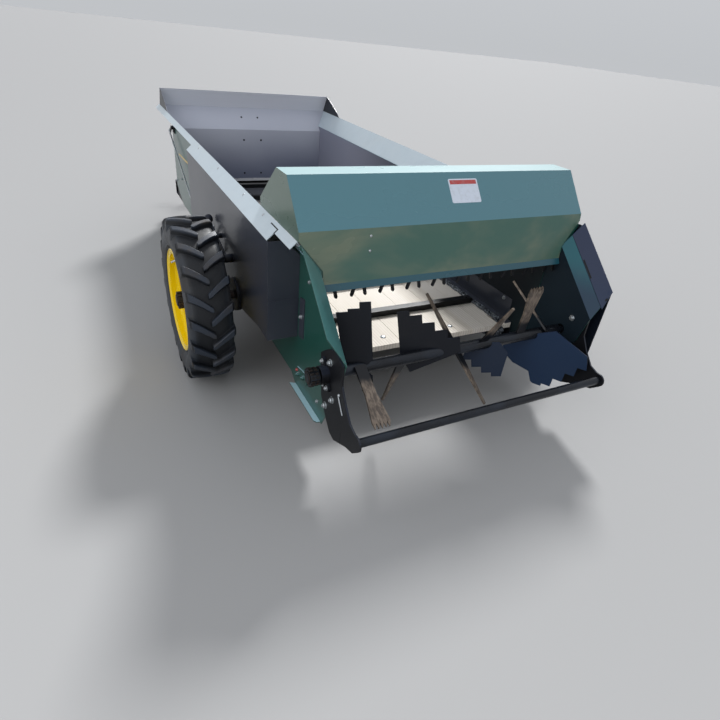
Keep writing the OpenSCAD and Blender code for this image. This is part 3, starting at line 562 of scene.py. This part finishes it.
class Build:
    """Collects one piece's geometry in world metres."""

    def __init__(self):
        self.mesh = bmesh.new()

    def loft(self, rings, closed_path=False):
        """Rings of equal length joined by quads, with the ends capped unless the path is closed."""
        made = [[self.mesh.verts.new(place) for place in ring] for ring in rings]
        count = len(rings[0])
        pairs = list(zip(made, made[1:]))
        if closed_path:
            pairs.append((made[-1], made[0]))
        for a, b in pairs:
            for i in range(count):
                j = (i + 1) % count
                self.mesh.faces.new((a[i], a[j], b[j], b[i]))
        if not closed_path:
            self.mesh.faces.new(list(reversed(made[0])))
            self.mesh.faces.new(made[-1])

    def rod(self, a, b, radius, sides, chamfer):
        """A round bar from a to b with chamfered ends."""
        length = (b - a).length
        ahead = (b - a).normalized()
        side = ahead.orthogonal().normalized()
        up = ahead.cross(side)
        steps = ((0.0, radius - chamfer), (chamfer, radius), (length - chamfer, radius),
                 (length, radius - chamfer))
        self.loft([circle(a + ahead * along, side, up, r, sides) for along, r in steps])

    def bolt(self, at, way, size, thread=0.0):
        """A washer, a hexagon head and, if asked, a thread end that stands out."""
        way = way.normalized()
        self.rod(at - way * 0.001, at + way * 0.0015, size * 1.2, 16, 0.0004)
        self.rod(at + way * 0.0012, at + way * (0.0015 + size * 0.7), size * 0.93, 6, size * 0.12)
        if thread:
            self.rod(at + way * size * 0.7, at + way * (size * 0.7 + thread), size * 0.5, 12, 0.0008)

    def dome(self, at, way, radius, rise):
        """A low round head, such as a carriage bolt's."""
        way = way.normalized()
        side = way.orthogonal().normalized()
        up = way.cross(side)
        rings = []
        for k in range(DOME_RINGS):
            t = k / (DOME_RINGS - 1) * math.pi / 2
            centre = at + way * (rise * math.sin(t) - 0.0005)
            rings.append(circle(centre, side, up, radius * max(math.cos(t), 0.06), DOME_SIDES))
        self.loft(rings)

    def plate(self, corners, way, thickness, cut=0.0):
        """A thin plate on a surface, raised along a direction, with corners cut off if asked."""
        way = way.normalized()
        outline = []
        for i, here in enumerate(corners):
            if cut:
                before, after = corners[i - 1], corners[(i + 1) % len(corners)]
                outline.append(here + (before - here).normalized() * cut)
                outline.append(here + (after - here).normalized() * cut)
            else:
                outline.append(here)
        self.loft([[place + way * height for place in outline] for height in (-PLATE_SINK, thickness)])

    def finish(self, name, body, finish_name, slot, smooth=40, replaced=()):
        """Turns the geometry into a piece that rides on a body. Smooth is an angle in degrees."""
        bmesh.ops.recalc_face_normals(self.mesh, faces=self.mesh.faces)
        data = bpy.data.meshes.new(name)
        self.mesh.to_mesh(data)
        self.mesh.free()
        obj = bpy.data.objects.new(name, data)
        bpy.context.scene.collection.objects.link(obj)
        data.materials.append(finishes[finish_name])
        if smooth:
            data.polygons.foreach_set("use_smooth", [True] * len(data.polygons))
            data.set_sharp_from_angle(angle=math.radians(smooth))
        if replaced:
            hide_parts(*replaced)
        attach(obj, body)


class Side:
    """Places and directions given for the right side, mirrored for the left side."""

    def __init__(self, sign, name):
        self.sign = sign
        self.name = name

    def at(self, x, y, z):
        """Distance from the middle, distance from the rails' rear end, height."""
        return Vector((self.sign * x, Y_RAIL + y, z))

    def way(self, x, y, z):
        """Outwards, ahead, up."""
        return Vector((self.sign * x, y, z))

    def about_axle(self, x, radius, turn):
        """A place at x from the middle, turned about the wheel's axle from ahead of it, upwards."""
        return Vector((self.sign * x, AXLE.y + radius * math.cos(turn), AXLE.z + radius * math.sin(turn)))


LEFT, RIGHT = Side(-1, "left"), Side(1, "right")
OUT, INTO, BACK, FORTH, UP = (1, 0, 0), (-1, 0, 0), (0, -1, 0), (0, 1, 0), (0, 0, 1)


# Tyres

# Half of the turned section, from the bead to the crown: radius, distance from the middle plane
HALF_SECTION = (
    (0.2024, 0.0690), (0.2100, 0.0694), (0.2215, 0.0694), (0.2262, 0.0712), (0.2300, 0.0770),
    (0.2330, 0.0800), (0.2345, 0.0826), (0.2375, 0.0826), (0.2390, 0.0818), (0.2500, 0.0856),
    (0.2620, 0.0884), (0.2740, 0.0896), (0.2860, 0.0893), (0.2960, 0.0872), (0.3060, 0.0826),
    (0.3150, 0.0760), (0.3215, 0.0660), (0.3245, 0.0520), (0.3258, 0.0300),
)
CROWN_R = 0.3262
TURN_STEPS = 96
# Carcass under the lugs: distance from the middle plane, radius
CARCASS = (
    (0.0, CROWN_R), (0.030, 0.3258), (0.058, 0.3240), (0.074, 0.3170), (0.084, 0.3040), (0.0888, 0.2880),
)
LUG_N = 20
# Along a lug: distance from the middle plane, turn in degrees, half widths at top and foot, top radius
LUG_STATIONS = (
    (-0.006, 0.3, 0.0075, 0.0125, 0.3478),
    (0.004, -0.7, 0.0115, 0.0150, 0.3479),
    (0.022, -3.1, 0.0120, 0.0160, 0.3478),
    (0.042, -5.6, 0.0130, 0.0170, 0.3470),
    (0.062, -7.8, 0.0140, 0.0185, 0.3452),
    (0.078, -9.3, 0.0150, 0.0200, 0.3425),
    (0.0862, -9.9, 0.0150, 0.0205, 0.3330),
    (0.0885, -10.2, 0.0130, 0.0190, 0.3140),
)
LUG_SINK = 0.006
LUG_FOOT = 0.0075
LUG_CHAMFER_H = 0.0022
LUG_CHAMFER_W = 0.0018
LUG_FLARE = 0.0006


def carcass_radius(across):
    """Radius of the carcass at a distance across from the middle plane."""
    for (a, radius_a), (b, radius_b) in zip(CARCASS, CARCASS[1:]):
        if across <= b:
            return radius_a + (radius_b - radius_a) * (across - a) / (b - a)
    return CARCASS[-1][1]


def on_tyre(side, radius, turn, across):
    """A place on a tyre. Turn 0 is the lowest point and grows towards the front."""
    return side.about_axle(AXLE.x + across, radius, turn - math.pi / 2)


def lug(build, side, face, start):
    """One bent lug with chamfered sides. Start is its turn in degrees."""
    rings = []
    for across, turn, top_w, foot_w, top_r in LUG_STATIONS:
        middle = math.radians(start + turn)
        low_r = min(carcass_radius(abs(across)), top_r) - LUG_SINK
        half = ((low_r, foot_w), (low_r + LUG_FOOT, foot_w), (top_r - LUG_CHAMFER_H, top_w + LUG_FLARE),
                (top_r, top_w - LUG_CHAMFER_W))
        outline = [(r, -w) for r, w in half] + [(r, w) for r, w in reversed(half)]
        rings.append([on_tyre(side, r, middle + w / top_r, face * across) for r, w in outline])
    build.loft(rings)


def tyre(side):
    """Carcass turned from its section, and two rows of lugs half a pitch apart."""
    build = Build()
    section = [*HALF_SECTION, (CROWN_R, 0.0), *((r, -across) for r, across in reversed(HALF_SECTION))]
    turns = [2 * math.pi * i / TURN_STEPS for i in range(TURN_STEPS)]
    rings = [[on_tyre(side, r, turn, across) for r, across in section] for turn in turns]
    build.loft(rings, closed_path=True)
    for face, shift in ((1, 0.0), (-1, 0.5)):
        for i in range(LUG_N):
            lug(build, side, face, 360 / LUG_N * (i + shift))
    build.finish("tyre_tread_" + side.name, "wheel_" + side.name, "tyre_rubber", "tyre_rubber", 32,
                 ("tyre_" + side.name,))


# Floor conveyor chains, link by link

SPROCKET_R = 0.054
CHAIN_RISE = 0.0083
CHAIN_X = HALF_IN - 0.061
SHAFTS_Y = (0.165, 2.660)
SHAFTS_Z = FLOOR_TOP + CHAIN_RISE - SPROCKET_R
REAR_SHAFT, FRONT_SHAFT = (Vector((0.0, Y_RAIL + y, SHAFTS_Z)) for y in SHAFTS_Y)
LINK_N = 74
# One side of a link: share of its length, distance from the chain's middle, height
BAR_STATIONS = (
    (-0.10, 0.0062, 0.009),
    (-0.05, 0.0062, 0.014),
    (0.36, 0.0062, 0.014),
    (0.56, 0.0100, 0.012),
    (1.04, 0.0100, 0.014),
    (1.09, 0.0100, 0.009),
)
BAR_T = 0.0034
# Pin and barrel: half length, radius, sides, chamfer
LINK_RODS = ((0.0118, 0.0036, 8, 0.0006), (0.0050, 0.0072, 12, 0.0008))


def chain_point(share):
    """Place on the loop, share 0 to 1 from the rear end of the upper run."""
    straight = FRONT_SHAFT.y - REAR_SHAFT.y
    bend = math.pi * SPROCKET_R
    along = (share % 1.0) * 2 * (straight + bend)
    if along < straight:
        return REAR_SHAFT + Vector((0, along, SPROCKET_R))
    along -= straight
    if along < bend:
        t = along / SPROCKET_R
        return FRONT_SHAFT + SPROCKET_R * Vector((0, math.sin(t), math.cos(t)))
    along -= bend
    if along < straight:
        return FRONT_SHAFT - Vector((0, along, SPROCKET_R))
    t = (along - straight) / SPROCKET_R
    return REAR_SHAFT - SPROCKET_R * Vector((0, math.sin(t), math.cos(t)))


def chain_link(build, a, b, x):
    """Two cranked side bars, narrow at the barrel and wide at the pin of the next link."""
    run = b - a
    across = Vector(OUT)
    up = across.cross(run).normalized()
    for sign in (-1, 1):
        rings = []
        for share, out, height in BAR_STATIONS:
            middle = a + run * share + across * (x + sign * out)
            rings.append([middle + across * (w * BAR_T / 2) + up * (h * height / 2)
                          for w, h in quad(-1, 1, -1, 1)])
        build.loft(rings)
    for half, radius, sides, chamfer in LINK_RODS:
        build.rod(a + across * (x - half), a + across * (x + half), radius, sides, chamfer)


def chains():
    """Both chains of the floor conveyor."""
    build = Build()
    for side in (LEFT, RIGHT):
        for i in range(LINK_N):
            chain_link(build, chain_point(i / LINK_N), chain_point((i + 1) / LINK_N), side.sign * CHAIN_X)
    build.finish("chain_links", "frame", "chain_steel", "chain_steel", 35, ("conveyor_chains",))


# Fasteners

LINER_T = 0.002
LINER_IN = HALF_IN - LINER_T
# Bolts on both sides: place, direction, size, length of thread
SIDE_BOLTS = (
    ((ARM_OUT, -0.183, 0.449), OUT, 0.0115, 0.006),
    ((ARM_OUT, -0.217, 0.315), OUT, 0.0110, 0.006),
    ((ARM_OUT, -0.166, 0.255), OUT, 0.0115, 0.006),
    ((ARM_OUT + 0.009, -0.134, 0.4276), OUT, 0.0085, 0.004),
    ((ARM_OUT + 0.009, -0.182, 0.3444), OUT, 0.0085, 0.004),
    ((PLATE_OUT + 0.004, 0.106, 0.473), OUT, 0.0080, 0.004),
    ((PLATE_OUT, 0.050, 0.640), OUT, 0.0065, 0.0),
    ((PLATE_OUT, -0.079, 0.207), OUT, 0.0070, 0.0),
    ((LINER_IN, 0.207, 0.361), INTO, 0.0080, 0.0),
    ((LINER_IN, 1.300, 0.361), INTO, 0.0080, 0.0),
    ((LINER_IN, 2.400, 0.361), INTO, 0.0080, 0.0),
    ((WALL_OUT, 2.537, 0.348), OUT, 0.0080, 0.0),
    ((WALL_OUT, 2.740, 0.290), OUT, 0.0080, 0.0),
    ((WALL_OUT, 1.700, 0.200), OUT, 0.0080, 0.0),
    ((WALL_OUT, 2.150, 0.200), OUT, 0.0080, 0.0),
    ((HALF_IN + 0.003, -0.197, 0.458), INTO, 0.0105, 0.0),
    ((0.064, 2.846, 0.17), FORTH, 0.0090, 0.0),
    ((0.064, 2.846, 0.26), FORTH, 0.0090, 0.0),
)
# The arm's split pin and the bearing's grease nipple, on both sides: ends, radius, chamfer
SIDE_RODS = (
    ((ARM_OUT + 0.003, -0.266, 0.365), (ARM_OUT + 0.003, -0.307, 0.315), 0.0026, 0.0008),
    ((ARM_OUT + 0.014, -0.160, 0.353), (ARM_OUT + 0.014, -0.163, 0.341), 0.0042, 0.0010),
)
PIN_HEAD = (ARM_OUT, -0.264, 0.368)
# Round heads: place, direction, radius, rise
HOOD_BACK = (0, -0.986, 0.167)
BRIGHT_HEADS = (
    ((-0.369, -0.0145, 0.8185), HOOD_BACK, 0.0050, 0.003),
    ((-0.372, -0.0230, 0.7685), HOOD_BACK, 0.0050, 0.003),
    ((-0.140, 0.179, FLOOR_TOP), UP, 0.0130, 0.005),
    ((0.221, 0.175, FLOOR_TOP), UP, 0.0130, 0.005),
)
DARK_HEADS = (
    ((-0.066, 2.608, 0.609), BACK, 0.0075, 0.003),
    ((0.066, 2.608, 0.609), BACK, 0.0075, 0.003),
    ((-0.066, 2.608, 0.367), BACK, 0.0075, 0.003),
    ((0.066, 2.608, 0.367), BACK, 0.0075, 0.003),
    ((-0.062, 2.682, 0.756), (0, -1, 1), 0.0075, 0.003),
    ((0.062, 2.682, 0.756), (0, -1, 1), 0.0075, 0.003),
)
# The rail's bent lip falls outwards from the rail's inner line
LIP_FALL = Vector((1.0, 0.0, -0.9)).normalized()
LIP_WAY = (0.9, 0, 1)
LIP_BOLTS_Y = (1.401, 0.987, 0.569, 0.312)
LIP_BOLTS_FALL = 0.018
HOUSING_BOLTS = 6
HOUSING_BOLTS_R = 0.079
HOUSING_T = 0.010
MEMBERS_Y = (0.810, 1.369, 1.927, 2.485)
MEMBER_HEADS_X = (-0.36, -0.14, 0.14, 0.36)
SLAT_N = 8
SLAT_PITCH = (SHAFTS_Y[1] - SHAFTS_Y[0]) / SLAT_N
# Head on the first slat of the upper run, as for Side.at
SLAT_HEAD = (0.452, SHAFTS_Y[0] + 0.6 * SLAT_PITCH + 0.019, FLOOR_TOP + 0.0283)


def lip_point(side, fall, y, rise=0.0):
    """A place on the rail's bent lip, fall metres down from its inner line."""
    x = RAIL_IN + LIP_FALL.x * fall - LIP_FALL.z * rise
    return side.at(x, y, RAIL_TOP + LIP_FALL.z * fall + LIP_FALL.x * rise)


def bright_fasteners():
    """Zinc plated bolts and heads on the sheets."""
    build = Build()
    for side in (LEFT, RIGHT):
        for place, way, size, thread in SIDE_BOLTS:
            build.bolt(side.at(*place), side.way(*way), size, thread)
        for y in LIP_BOLTS_Y:
            build.dome(lip_point(side, LIP_BOLTS_FALL, y), side.way(*LIP_WAY), 0.0065, 0.003)
        for i in range(HOUSING_BOLTS):
            turn = 2 * math.pi * (i + 0.5) / HOUSING_BOLTS
            build.bolt(side.about_axle(WALL_OUT + HOUSING_T, HOUSING_BOLTS_R, turn), side.way(*OUT), 0.007)
        for end_a, end_b, radius, chamfer in SIDE_RODS:
            build.rod(side.at(*end_a), side.at(*end_b), radius, 8, chamfer)
        build.dome(side.at(*PIN_HEAD), side.way(*OUT), 0.0062, 0.006)
    for place, way, radius, rise in BRIGHT_HEADS:
        build.dome(RIGHT.at(*place), Vector(way), radius, rise)
    build.finish("sheet_bolts", "frame", "zinc", "zinc", 30)


def dark_fasteners():
    """Dark heads on the front panel, the floor and the slats."""
    build = Build()
    for place, way, radius, rise in DARK_HEADS:
        build.dome(RIGHT.at(*place), Vector(way), radius, rise)
    for y in MEMBERS_Y:
        for x in MEMBER_HEADS_X:
            build.dome(RIGHT.at(x, y, FLOOR_TOP), Vector(UP), 0.011, 0.004)
    for side in (LEFT, RIGHT):
        for i in range(SLAT_N):
            head = side.at(*SLAT_HEAD) + Vector(FORTH) * i * SLAT_PITCH
            build.dome(head, Vector(UP), 0.009, 0.004)
    build.finish("dark_heads", "frame", "slat_steel", "black_paint", 30)


# Trim

HOOD_FOLD_Y = 0.113
HOOD_DOWN = Vector((0, -0.642, -0.767))
HOOD_WAY = Vector((0, -0.767, 0.642))
# Straps behind the covers, brackets above the feet with their bolts and caps, stripes on the walls:
# distance from the rails' end, height
STRAP = ((0.080, 0.388), (0.124, 0.380), (0.124, 0.548), (0.080, 0.556))
BRACKET = ((0.020, 0.205), (0.122, 0.186), (0.132, 0.236), (0.036, 0.256))
BRACKET_BOLTS = ((0.104, 0.212), (0.050, 0.230))
FOOT_BOLT, FOOT_CAP = (0.000, 0.252), (0.123, 0.222)
STRIPE = ((2.206, 0.519), (2.580, 0.509), (2.580, 0.522), (2.206, 0.534))
BRACKET_T = 0.005
# Strips on the walls and blank plates there: distance from the rails' end from and to, height from and to
WALL_STRIP = (0.150, 2.606, 0.2725, 0.376)
WALL_PLATE, WALL_PLATE_HEAD = (2.052, 2.190, 0.425, 0.578), (2.058, 2.184, 0.548, 0.572)
# Strips on the floor: across from and to, distance from the rails' end from and to
FLOOR_STRIP = (0.510, LINER_IN, 0.118, 2.606)
# Blank plate on the hood: across from and to, way down from and to
HOOD_PLATE, HOOD_PLATE_HEAD = (-0.012, 0.121, 0.027, 0.120), (-0.006, 0.115, 0.032, 0.048)
FILM_T, FILM_HEAD_T, FILM_CUT = 0.0006, 0.0010, 0.004
# Slots in the rails' lips: fall from and to, distance from the rails' end from and to
LIP_SLOTS = ((0.0155, 0.0200, 0.153, 0.222), (0.0155, 0.0370, 0.1475, 0.1545))
# Slots in the slanted strip of the right cover: way down from and to, way out from and to
STRIP_SLOTS = ((0.120, 0.205, 0.064, 0.071), (0.318, 0.326, 0.088, 0.100))
STRIP_CORNER = (WALL_OUT, -0.025, 0.715)
STRIP_DOWN = Vector((0, -0.754, -0.657))
STRIP_OUT = Vector((0.630, -0.113, 0.768))
STRIP_LIFT = 0.0014
SLOT_T = 0.0005
# Lips between hood and flange: inner and outer line, each place as for Side.at
SEAM_INNER = (
    (0.618, -0.0136, 0.806), (0.554, -0.0270, 0.727), (0.543, -0.0295, 0.712), (0.543, -0.0333, 0.690),
)
SEAM_OUTER = (
    (0.556, -0.0333, 0.690), (0.562, -0.0305, 0.706), (0.574, -0.0289, 0.716), (0.632, -0.0146, 0.800),
)


def edge_strips():
    """Black strips that close the floor along both walls, and the straps behind the covers."""
    build = Build()
    for side in (LEFT, RIGHT):
        wall = [side.at(HALF_IN, y, z) for y, z in quad(*WALL_STRIP)]
        low = [side.at(x, y, FLOOR_TOP) for x, y in quad(*FLOOR_STRIP)]
        build.plate(wall, side.way(*INTO), LINER_T, 0.004)
        build.plate(low, Vector(UP), LINER_T, 0.003)
        build.plate([side.at(PLATE_OUT, y, z) for y, z in STRAP], side.way(*OUT), 0.004, 0.004)
    build.finish("edge_strips", "frame", "cover_black", "black_paint", 30)


def foot_brackets():
    """Small painted brackets above the feet, with their bolts and caps."""
    build, caps = Build(), Build()
    for side in (LEFT, RIGHT):
        out = side.way(*OUT)
        build.plate([side.at(PLATE_OUT, y, z) for y, z in BRACKET], out, BRACKET_T, 0.008)
        for place in BRACKET_BOLTS:
            build.bolt(side.at(PLATE_OUT + BRACKET_T, *place), out, 0.0095, 0.008)
        build.bolt(side.at(PLATE_OUT, *FOOT_BOLT), out, 0.008)
        caps.dome(side.at(PLATE_OUT + BRACKET_T - 0.0005, *FOOT_CAP), out, 0.007, 0.008)
    build.finish("foot_brackets", "frame", "green_paint", "green_paint", 30)
    caps.finish("foot_caps", "frame", "sticker_red", "black_paint", 40)


def slots():
    """Slots cut through the rail lips and the beater cover, shown as thin insets in painted shade."""
    build = Build()
    for side in (LEFT, RIGHT):
        for slot in LIP_SLOTS:
            corners = [lip_point(side, fall, y, -0.0002) for fall, y in quad(*slot)]
            build.plate(corners, side.way(*LIP_WAY), SLOT_T)
    way = STRIP_DOWN.cross(STRIP_OUT).normalized()
    corner = RIGHT.at(*STRIP_CORNER) + way * STRIP_LIFT
    for slot in STRIP_SLOTS:
        build.plate([corner + STRIP_DOWN * down + STRIP_OUT * out for down, out in quad(*slot)], way, SLOT_T)
    build.finish("dark_slots", "frame", "dark_gap", "black_paint", 0)


def hood_point(x, down):
    """A place on the hood's slanted panel, down metres below its upper fold."""
    return RIGHT.at(x, HOOD_FOLD_Y, HOOD_TOP) + HOOD_DOWN * down


def stickers():
    """Blank plates: white ones with a red head, and the yellow stripe of the walls."""
    white, red, stripe = Build(), Build(), Build()
    white.plate([hood_point(x, down) for x, down in quad(*HOOD_PLATE)], HOOD_WAY, FILM_T, FILM_CUT)
    red.plate([hood_point(x, down) for x, down in quad(*HOOD_PLATE_HEAD)], HOOD_WAY, FILM_HEAD_T)
    for side in (LEFT, RIGHT):
        out = side.way(*OUT)
        white.plate([side.at(WALL_OUT, y, z) for y, z in quad(*WALL_PLATE)], out, FILM_T, FILM_CUT)
        red.plate([side.at(WALL_OUT, y, z) for y, z in quad(*WALL_PLATE_HEAD)], out, FILM_HEAD_T)
        stripe.plate([side.at(WALL_OUT, y, z) for y, z in STRIPE], out, 0.0005)
    white.finish("blank_plates", "frame", "sticker_white", "green_paint", 0)
    red.finish("plate_heads", "frame", "sticker_red", "green_paint", 0)
    stripe.finish("wall_stripes", "frame", "stripe_yellow", "yellow_paint", 0)


def hood_seams():
    """Narrow lips that close the seam between the hood and the flanges beside it."""
    build = Build()
    for side in (LEFT, RIGHT):
        build.plate([side.at(*place) for place in SEAM_INNER + SEAM_OUTER], -Vector(HOOD_BACK), 0.0012)
    build.finish("hood_seams", "frame", "green_paint", "green_paint", 0)


# Hand lever on the left cover: distance from the rails' end and height of its points
LEVER_PIVOT, LEVER_ELBOW, LEVER_TIP = (0.640, 0.505), (0.823, 0.541), (0.955, 0.578)
LEVER_IN, LEVER_OUT = 0.704, 0.710
LEVER_LINKS = (((0.803, 0.530), (0.784, 0.478)), ((0.905, 0.561), (0.925, 0.520)))
KNOB_R, KNOB_HALF_H = 0.020, 0.005
KNOB_RINGS, KNOB_SIDES = 9, 20


def lever_bar(build):
    """The flat bar from the pivot over the elbow to the tip, tapered."""
    rings = []
    for (y, z), half in ((LEVER_PIVOT, 0.017), (LEVER_ELBOW, 0.014), (LEVER_TIP, 0.009)):
        rings.append([LEFT.at(x, y + rise * 0.2 * half, z + rise * half)
                      for x, rise in quad(LEVER_IN, LEVER_OUT, -1, 1)])
    build.loft(rings)


def lever_knob(build):
    """The round knob at the tip."""
    rings = []
    for k in range(KNOB_RINGS):
        t = math.pi * k / (KNOB_RINGS - 1)
        centre = LEFT.at((LEVER_IN + LEVER_OUT) / 2, *LEVER_TIP)
        centre -= Vector((0, KNOB_R, KNOB_HALF_H)) * math.cos(t)
        rings.append(circle(centre, Vector(OUT), Vector(UP), max(KNOB_R * math.sin(t), 0.001), KNOB_SIDES))
    build.loft(rings)


def cover_lever():
    """Hand lever with a round knob on the left cover, ahead of the wheel, and its links."""
    build, links = Build(), Build()
    seat = COVER_OUT - 0.001
    build.rod(LEFT.at(seat, *LEVER_PIVOT), LEFT.at(0.718, *LEVER_PIVOT), 0.019, 20, 0.002)
    build.rod(LEFT.at(seat, *LEVER_ELBOW), LEFT.at(0.712, *LEVER_ELBOW), 0.011, 16, 0.001)
    lever_bar(build)
    lever_knob(build)
    build.finish("cover_lever", "frame", "black_paint", "black_paint", 45)
    for top, low in LEVER_LINKS:
        links.rod(LEFT.at(0.700, *top), LEFT.at(0.690, *low), 0.0065, 10, 0.001)
    links.finish("lever_links", "frame", "zinc", "zinc", 40)


# Ends of the shaft and the hubs

# Ribs of the beater shaft's end: X from and to, outer radius
SHAFT_RIBS = ((-0.6355, -0.6220, 0.0345), (-0.6165, -0.6060, 0.0335))
SHAFT_RIB_N = 14
SHAFT_RIB_IN = 0.030
SHAFT_CAP_X = (-0.6360, -0.6390)
# Hub cap: its places along the axle, inner and outer radius of its ribs
HUB_X = (0.908, 0.9315, 0.936)
HUB_RIB_N = 12
HUB_RIB_R = (0.032, 0.0375)
WHEEL_NUTS = 5
WHEEL_NUTS_R = 0.062
WHEEL_NUTS_TURN = math.radians(18)
VALVE_R = 0.186
# Half widths of a rib at its inner and outer radius, as shares of the pitch
RIB_FOOT, RIB_TOP = 0.30, 0.22


def ribbed_ring(build, middle, x0, x1, inner, outer, count):
    """A ring of square ribs about an axis along X through middle."""
    outline = ((inner, -RIB_FOOT), (outer, -RIB_TOP), (outer, RIB_TOP), (inner, RIB_FOOT))
    for i in range(count):
        rings = []
        for x in (x0, x1):
            turns = [(r, 2 * math.pi * (i + part) / count) for r, part in outline]
            rings.append([Vector((x, middle.y + r * math.cos(t), middle.z + r * math.sin(t)))
                          for r, t in turns])
        build.loft(rings)


def shaft_end():
    """The ribbed left end of the beater shaft."""
    build = Build()
    for x0, x1, outer in SHAFT_RIBS:
        ribbed_ring(build, BEATER, x0, x1, SHAFT_RIB_IN, outer, SHAFT_RIB_N)
    build.rod(*(BEATER + Vector((x, 0, 0)) for x in SHAFT_CAP_X), 0.024, 24, 0.002)
    build.finish("shaft_end", "beater", "hub_cast", "black_paint", 30)


def hub(side):
    """A wheel's ribbed hub cap, its nuts and its valve."""
    cap = Build()
    x0, x1, x2 = (side.sign * x for x in HUB_X)
    ribbed_ring(cap, AXLE, min(x0, x1), max(x0, x1), *HUB_RIB_R, HUB_RIB_N)
    cap.rod(Vector((x1, AXLE.y, AXLE.z)), Vector((x2, AXLE.y, AXLE.z)), 0.026, 24, 0.003)
    cap.finish("hub_cap_" + side.name, "wheel_" + side.name, "hub_cast", "black_paint", 30)

    nuts = Build()
    for i in range(WHEEL_NUTS):
        turn = 2 * math.pi * i / WHEEL_NUTS + WHEEL_NUTS_TURN
        nuts.bolt(side.about_axle(AXLE.x - 0.010, WHEEL_NUTS_R, turn), side.way(*OUT), 0.0095, 0.008)
    stem = side.about_axle(AXLE.x + 0.058, VALVE_R, math.pi / 2)
    nuts.rod(stem, stem + side.way(0.030, 0, -0.012), 0.0042, 10, 0.001)
    nuts.finish("wheel_nuts_" + side.name, "wheel_" + side.name, "zinc", "zinc", 30)


# Studio

def background():
    """A pale sky, darker towards the horizon."""
    world = bpy.data.worlds.new("world")
    bpy.context.scene.world = world
    world.use_nodes = True
    tree = world.node_tree
    sky = tree.nodes["Background"]
    place = tree.nodes.new("ShaderNodeTexCoord")
    split = tree.nodes.new("ShaderNodeSeparateXYZ")
    tree.links.new(place.outputs["Generated"], split.inputs[0])
    height = tree.nodes.new("ShaderNodeMapRange")
    height.inputs["From Min"].default_value = 0.0
    height.inputs["From Max"].default_value = ZENITH_AT
    tree.links.new(split.outputs["Z"], height.inputs["Value"])
    tone = tree.nodes.new("ShaderNodeMix")
    tone.data_type = "RGBA"
    tone.inputs["A"].default_value = linear(HORIZON)
    tone.inputs["B"].default_value = linear(ZENITH)
    tree.links.new(height.outputs["Result"], tone.inputs["Factor"])
    tree.links.new(tone.outputs["Result"], sky.inputs["Color"])
    sky.inputs["Strength"].default_value = SKY_STRENGTH


def ground():
    """A plain pale floor."""
    mesh = bpy.data.meshes.new("floor")
    corners = quad(-FLOOR_REACH, FLOOR_REACH, -FLOOR_REACH, FLOOR_REACH)
    mesh.from_pydata([(x, y, 0) for x, y in corners], [], [(0, 1, 2, 3)])
    mesh.materials.append(Shader("floor", FLOOR_GREY, 0.9).material)
    floor = bpy.data.objects.new("floor", mesh)
    bpy.context.scene.collection.objects.link(floor)


def lamps():
    """A soft key light from ahead and a weak fill from behind."""
    for name, kind, place, power, size in LAMPS:
        data = bpy.data.lights.new(name, kind)
        data.energy = power
        if kind == "SUN":
            data.angle = size
        else:
            data.size = size
        lamp = bpy.data.objects.new(name, data)
        bpy.context.scene.collection.objects.link(lamp)
        lamp.location = place
        lamp.rotation_mode = "QUATERNION"
        lamp.rotation_quaternion = (LAMP_TARGET - Vector(place)).to_track_quat("-Z", "Y")


camera()
finishes = make_finishes()
dress_nodes()
tyre(LEFT)
tyre(RIGHT)
chains()
bright_fasteners()
dark_fasteners()
edge_strips()
foot_brackets()
slots()
stickers()
hood_seams()
cover_lever()
shaft_end()
hub(LEFT)
hub(RIGHT)
background()
ground()
lamps()
bpy.context.scene.view_settings.view_transform = "Standard"
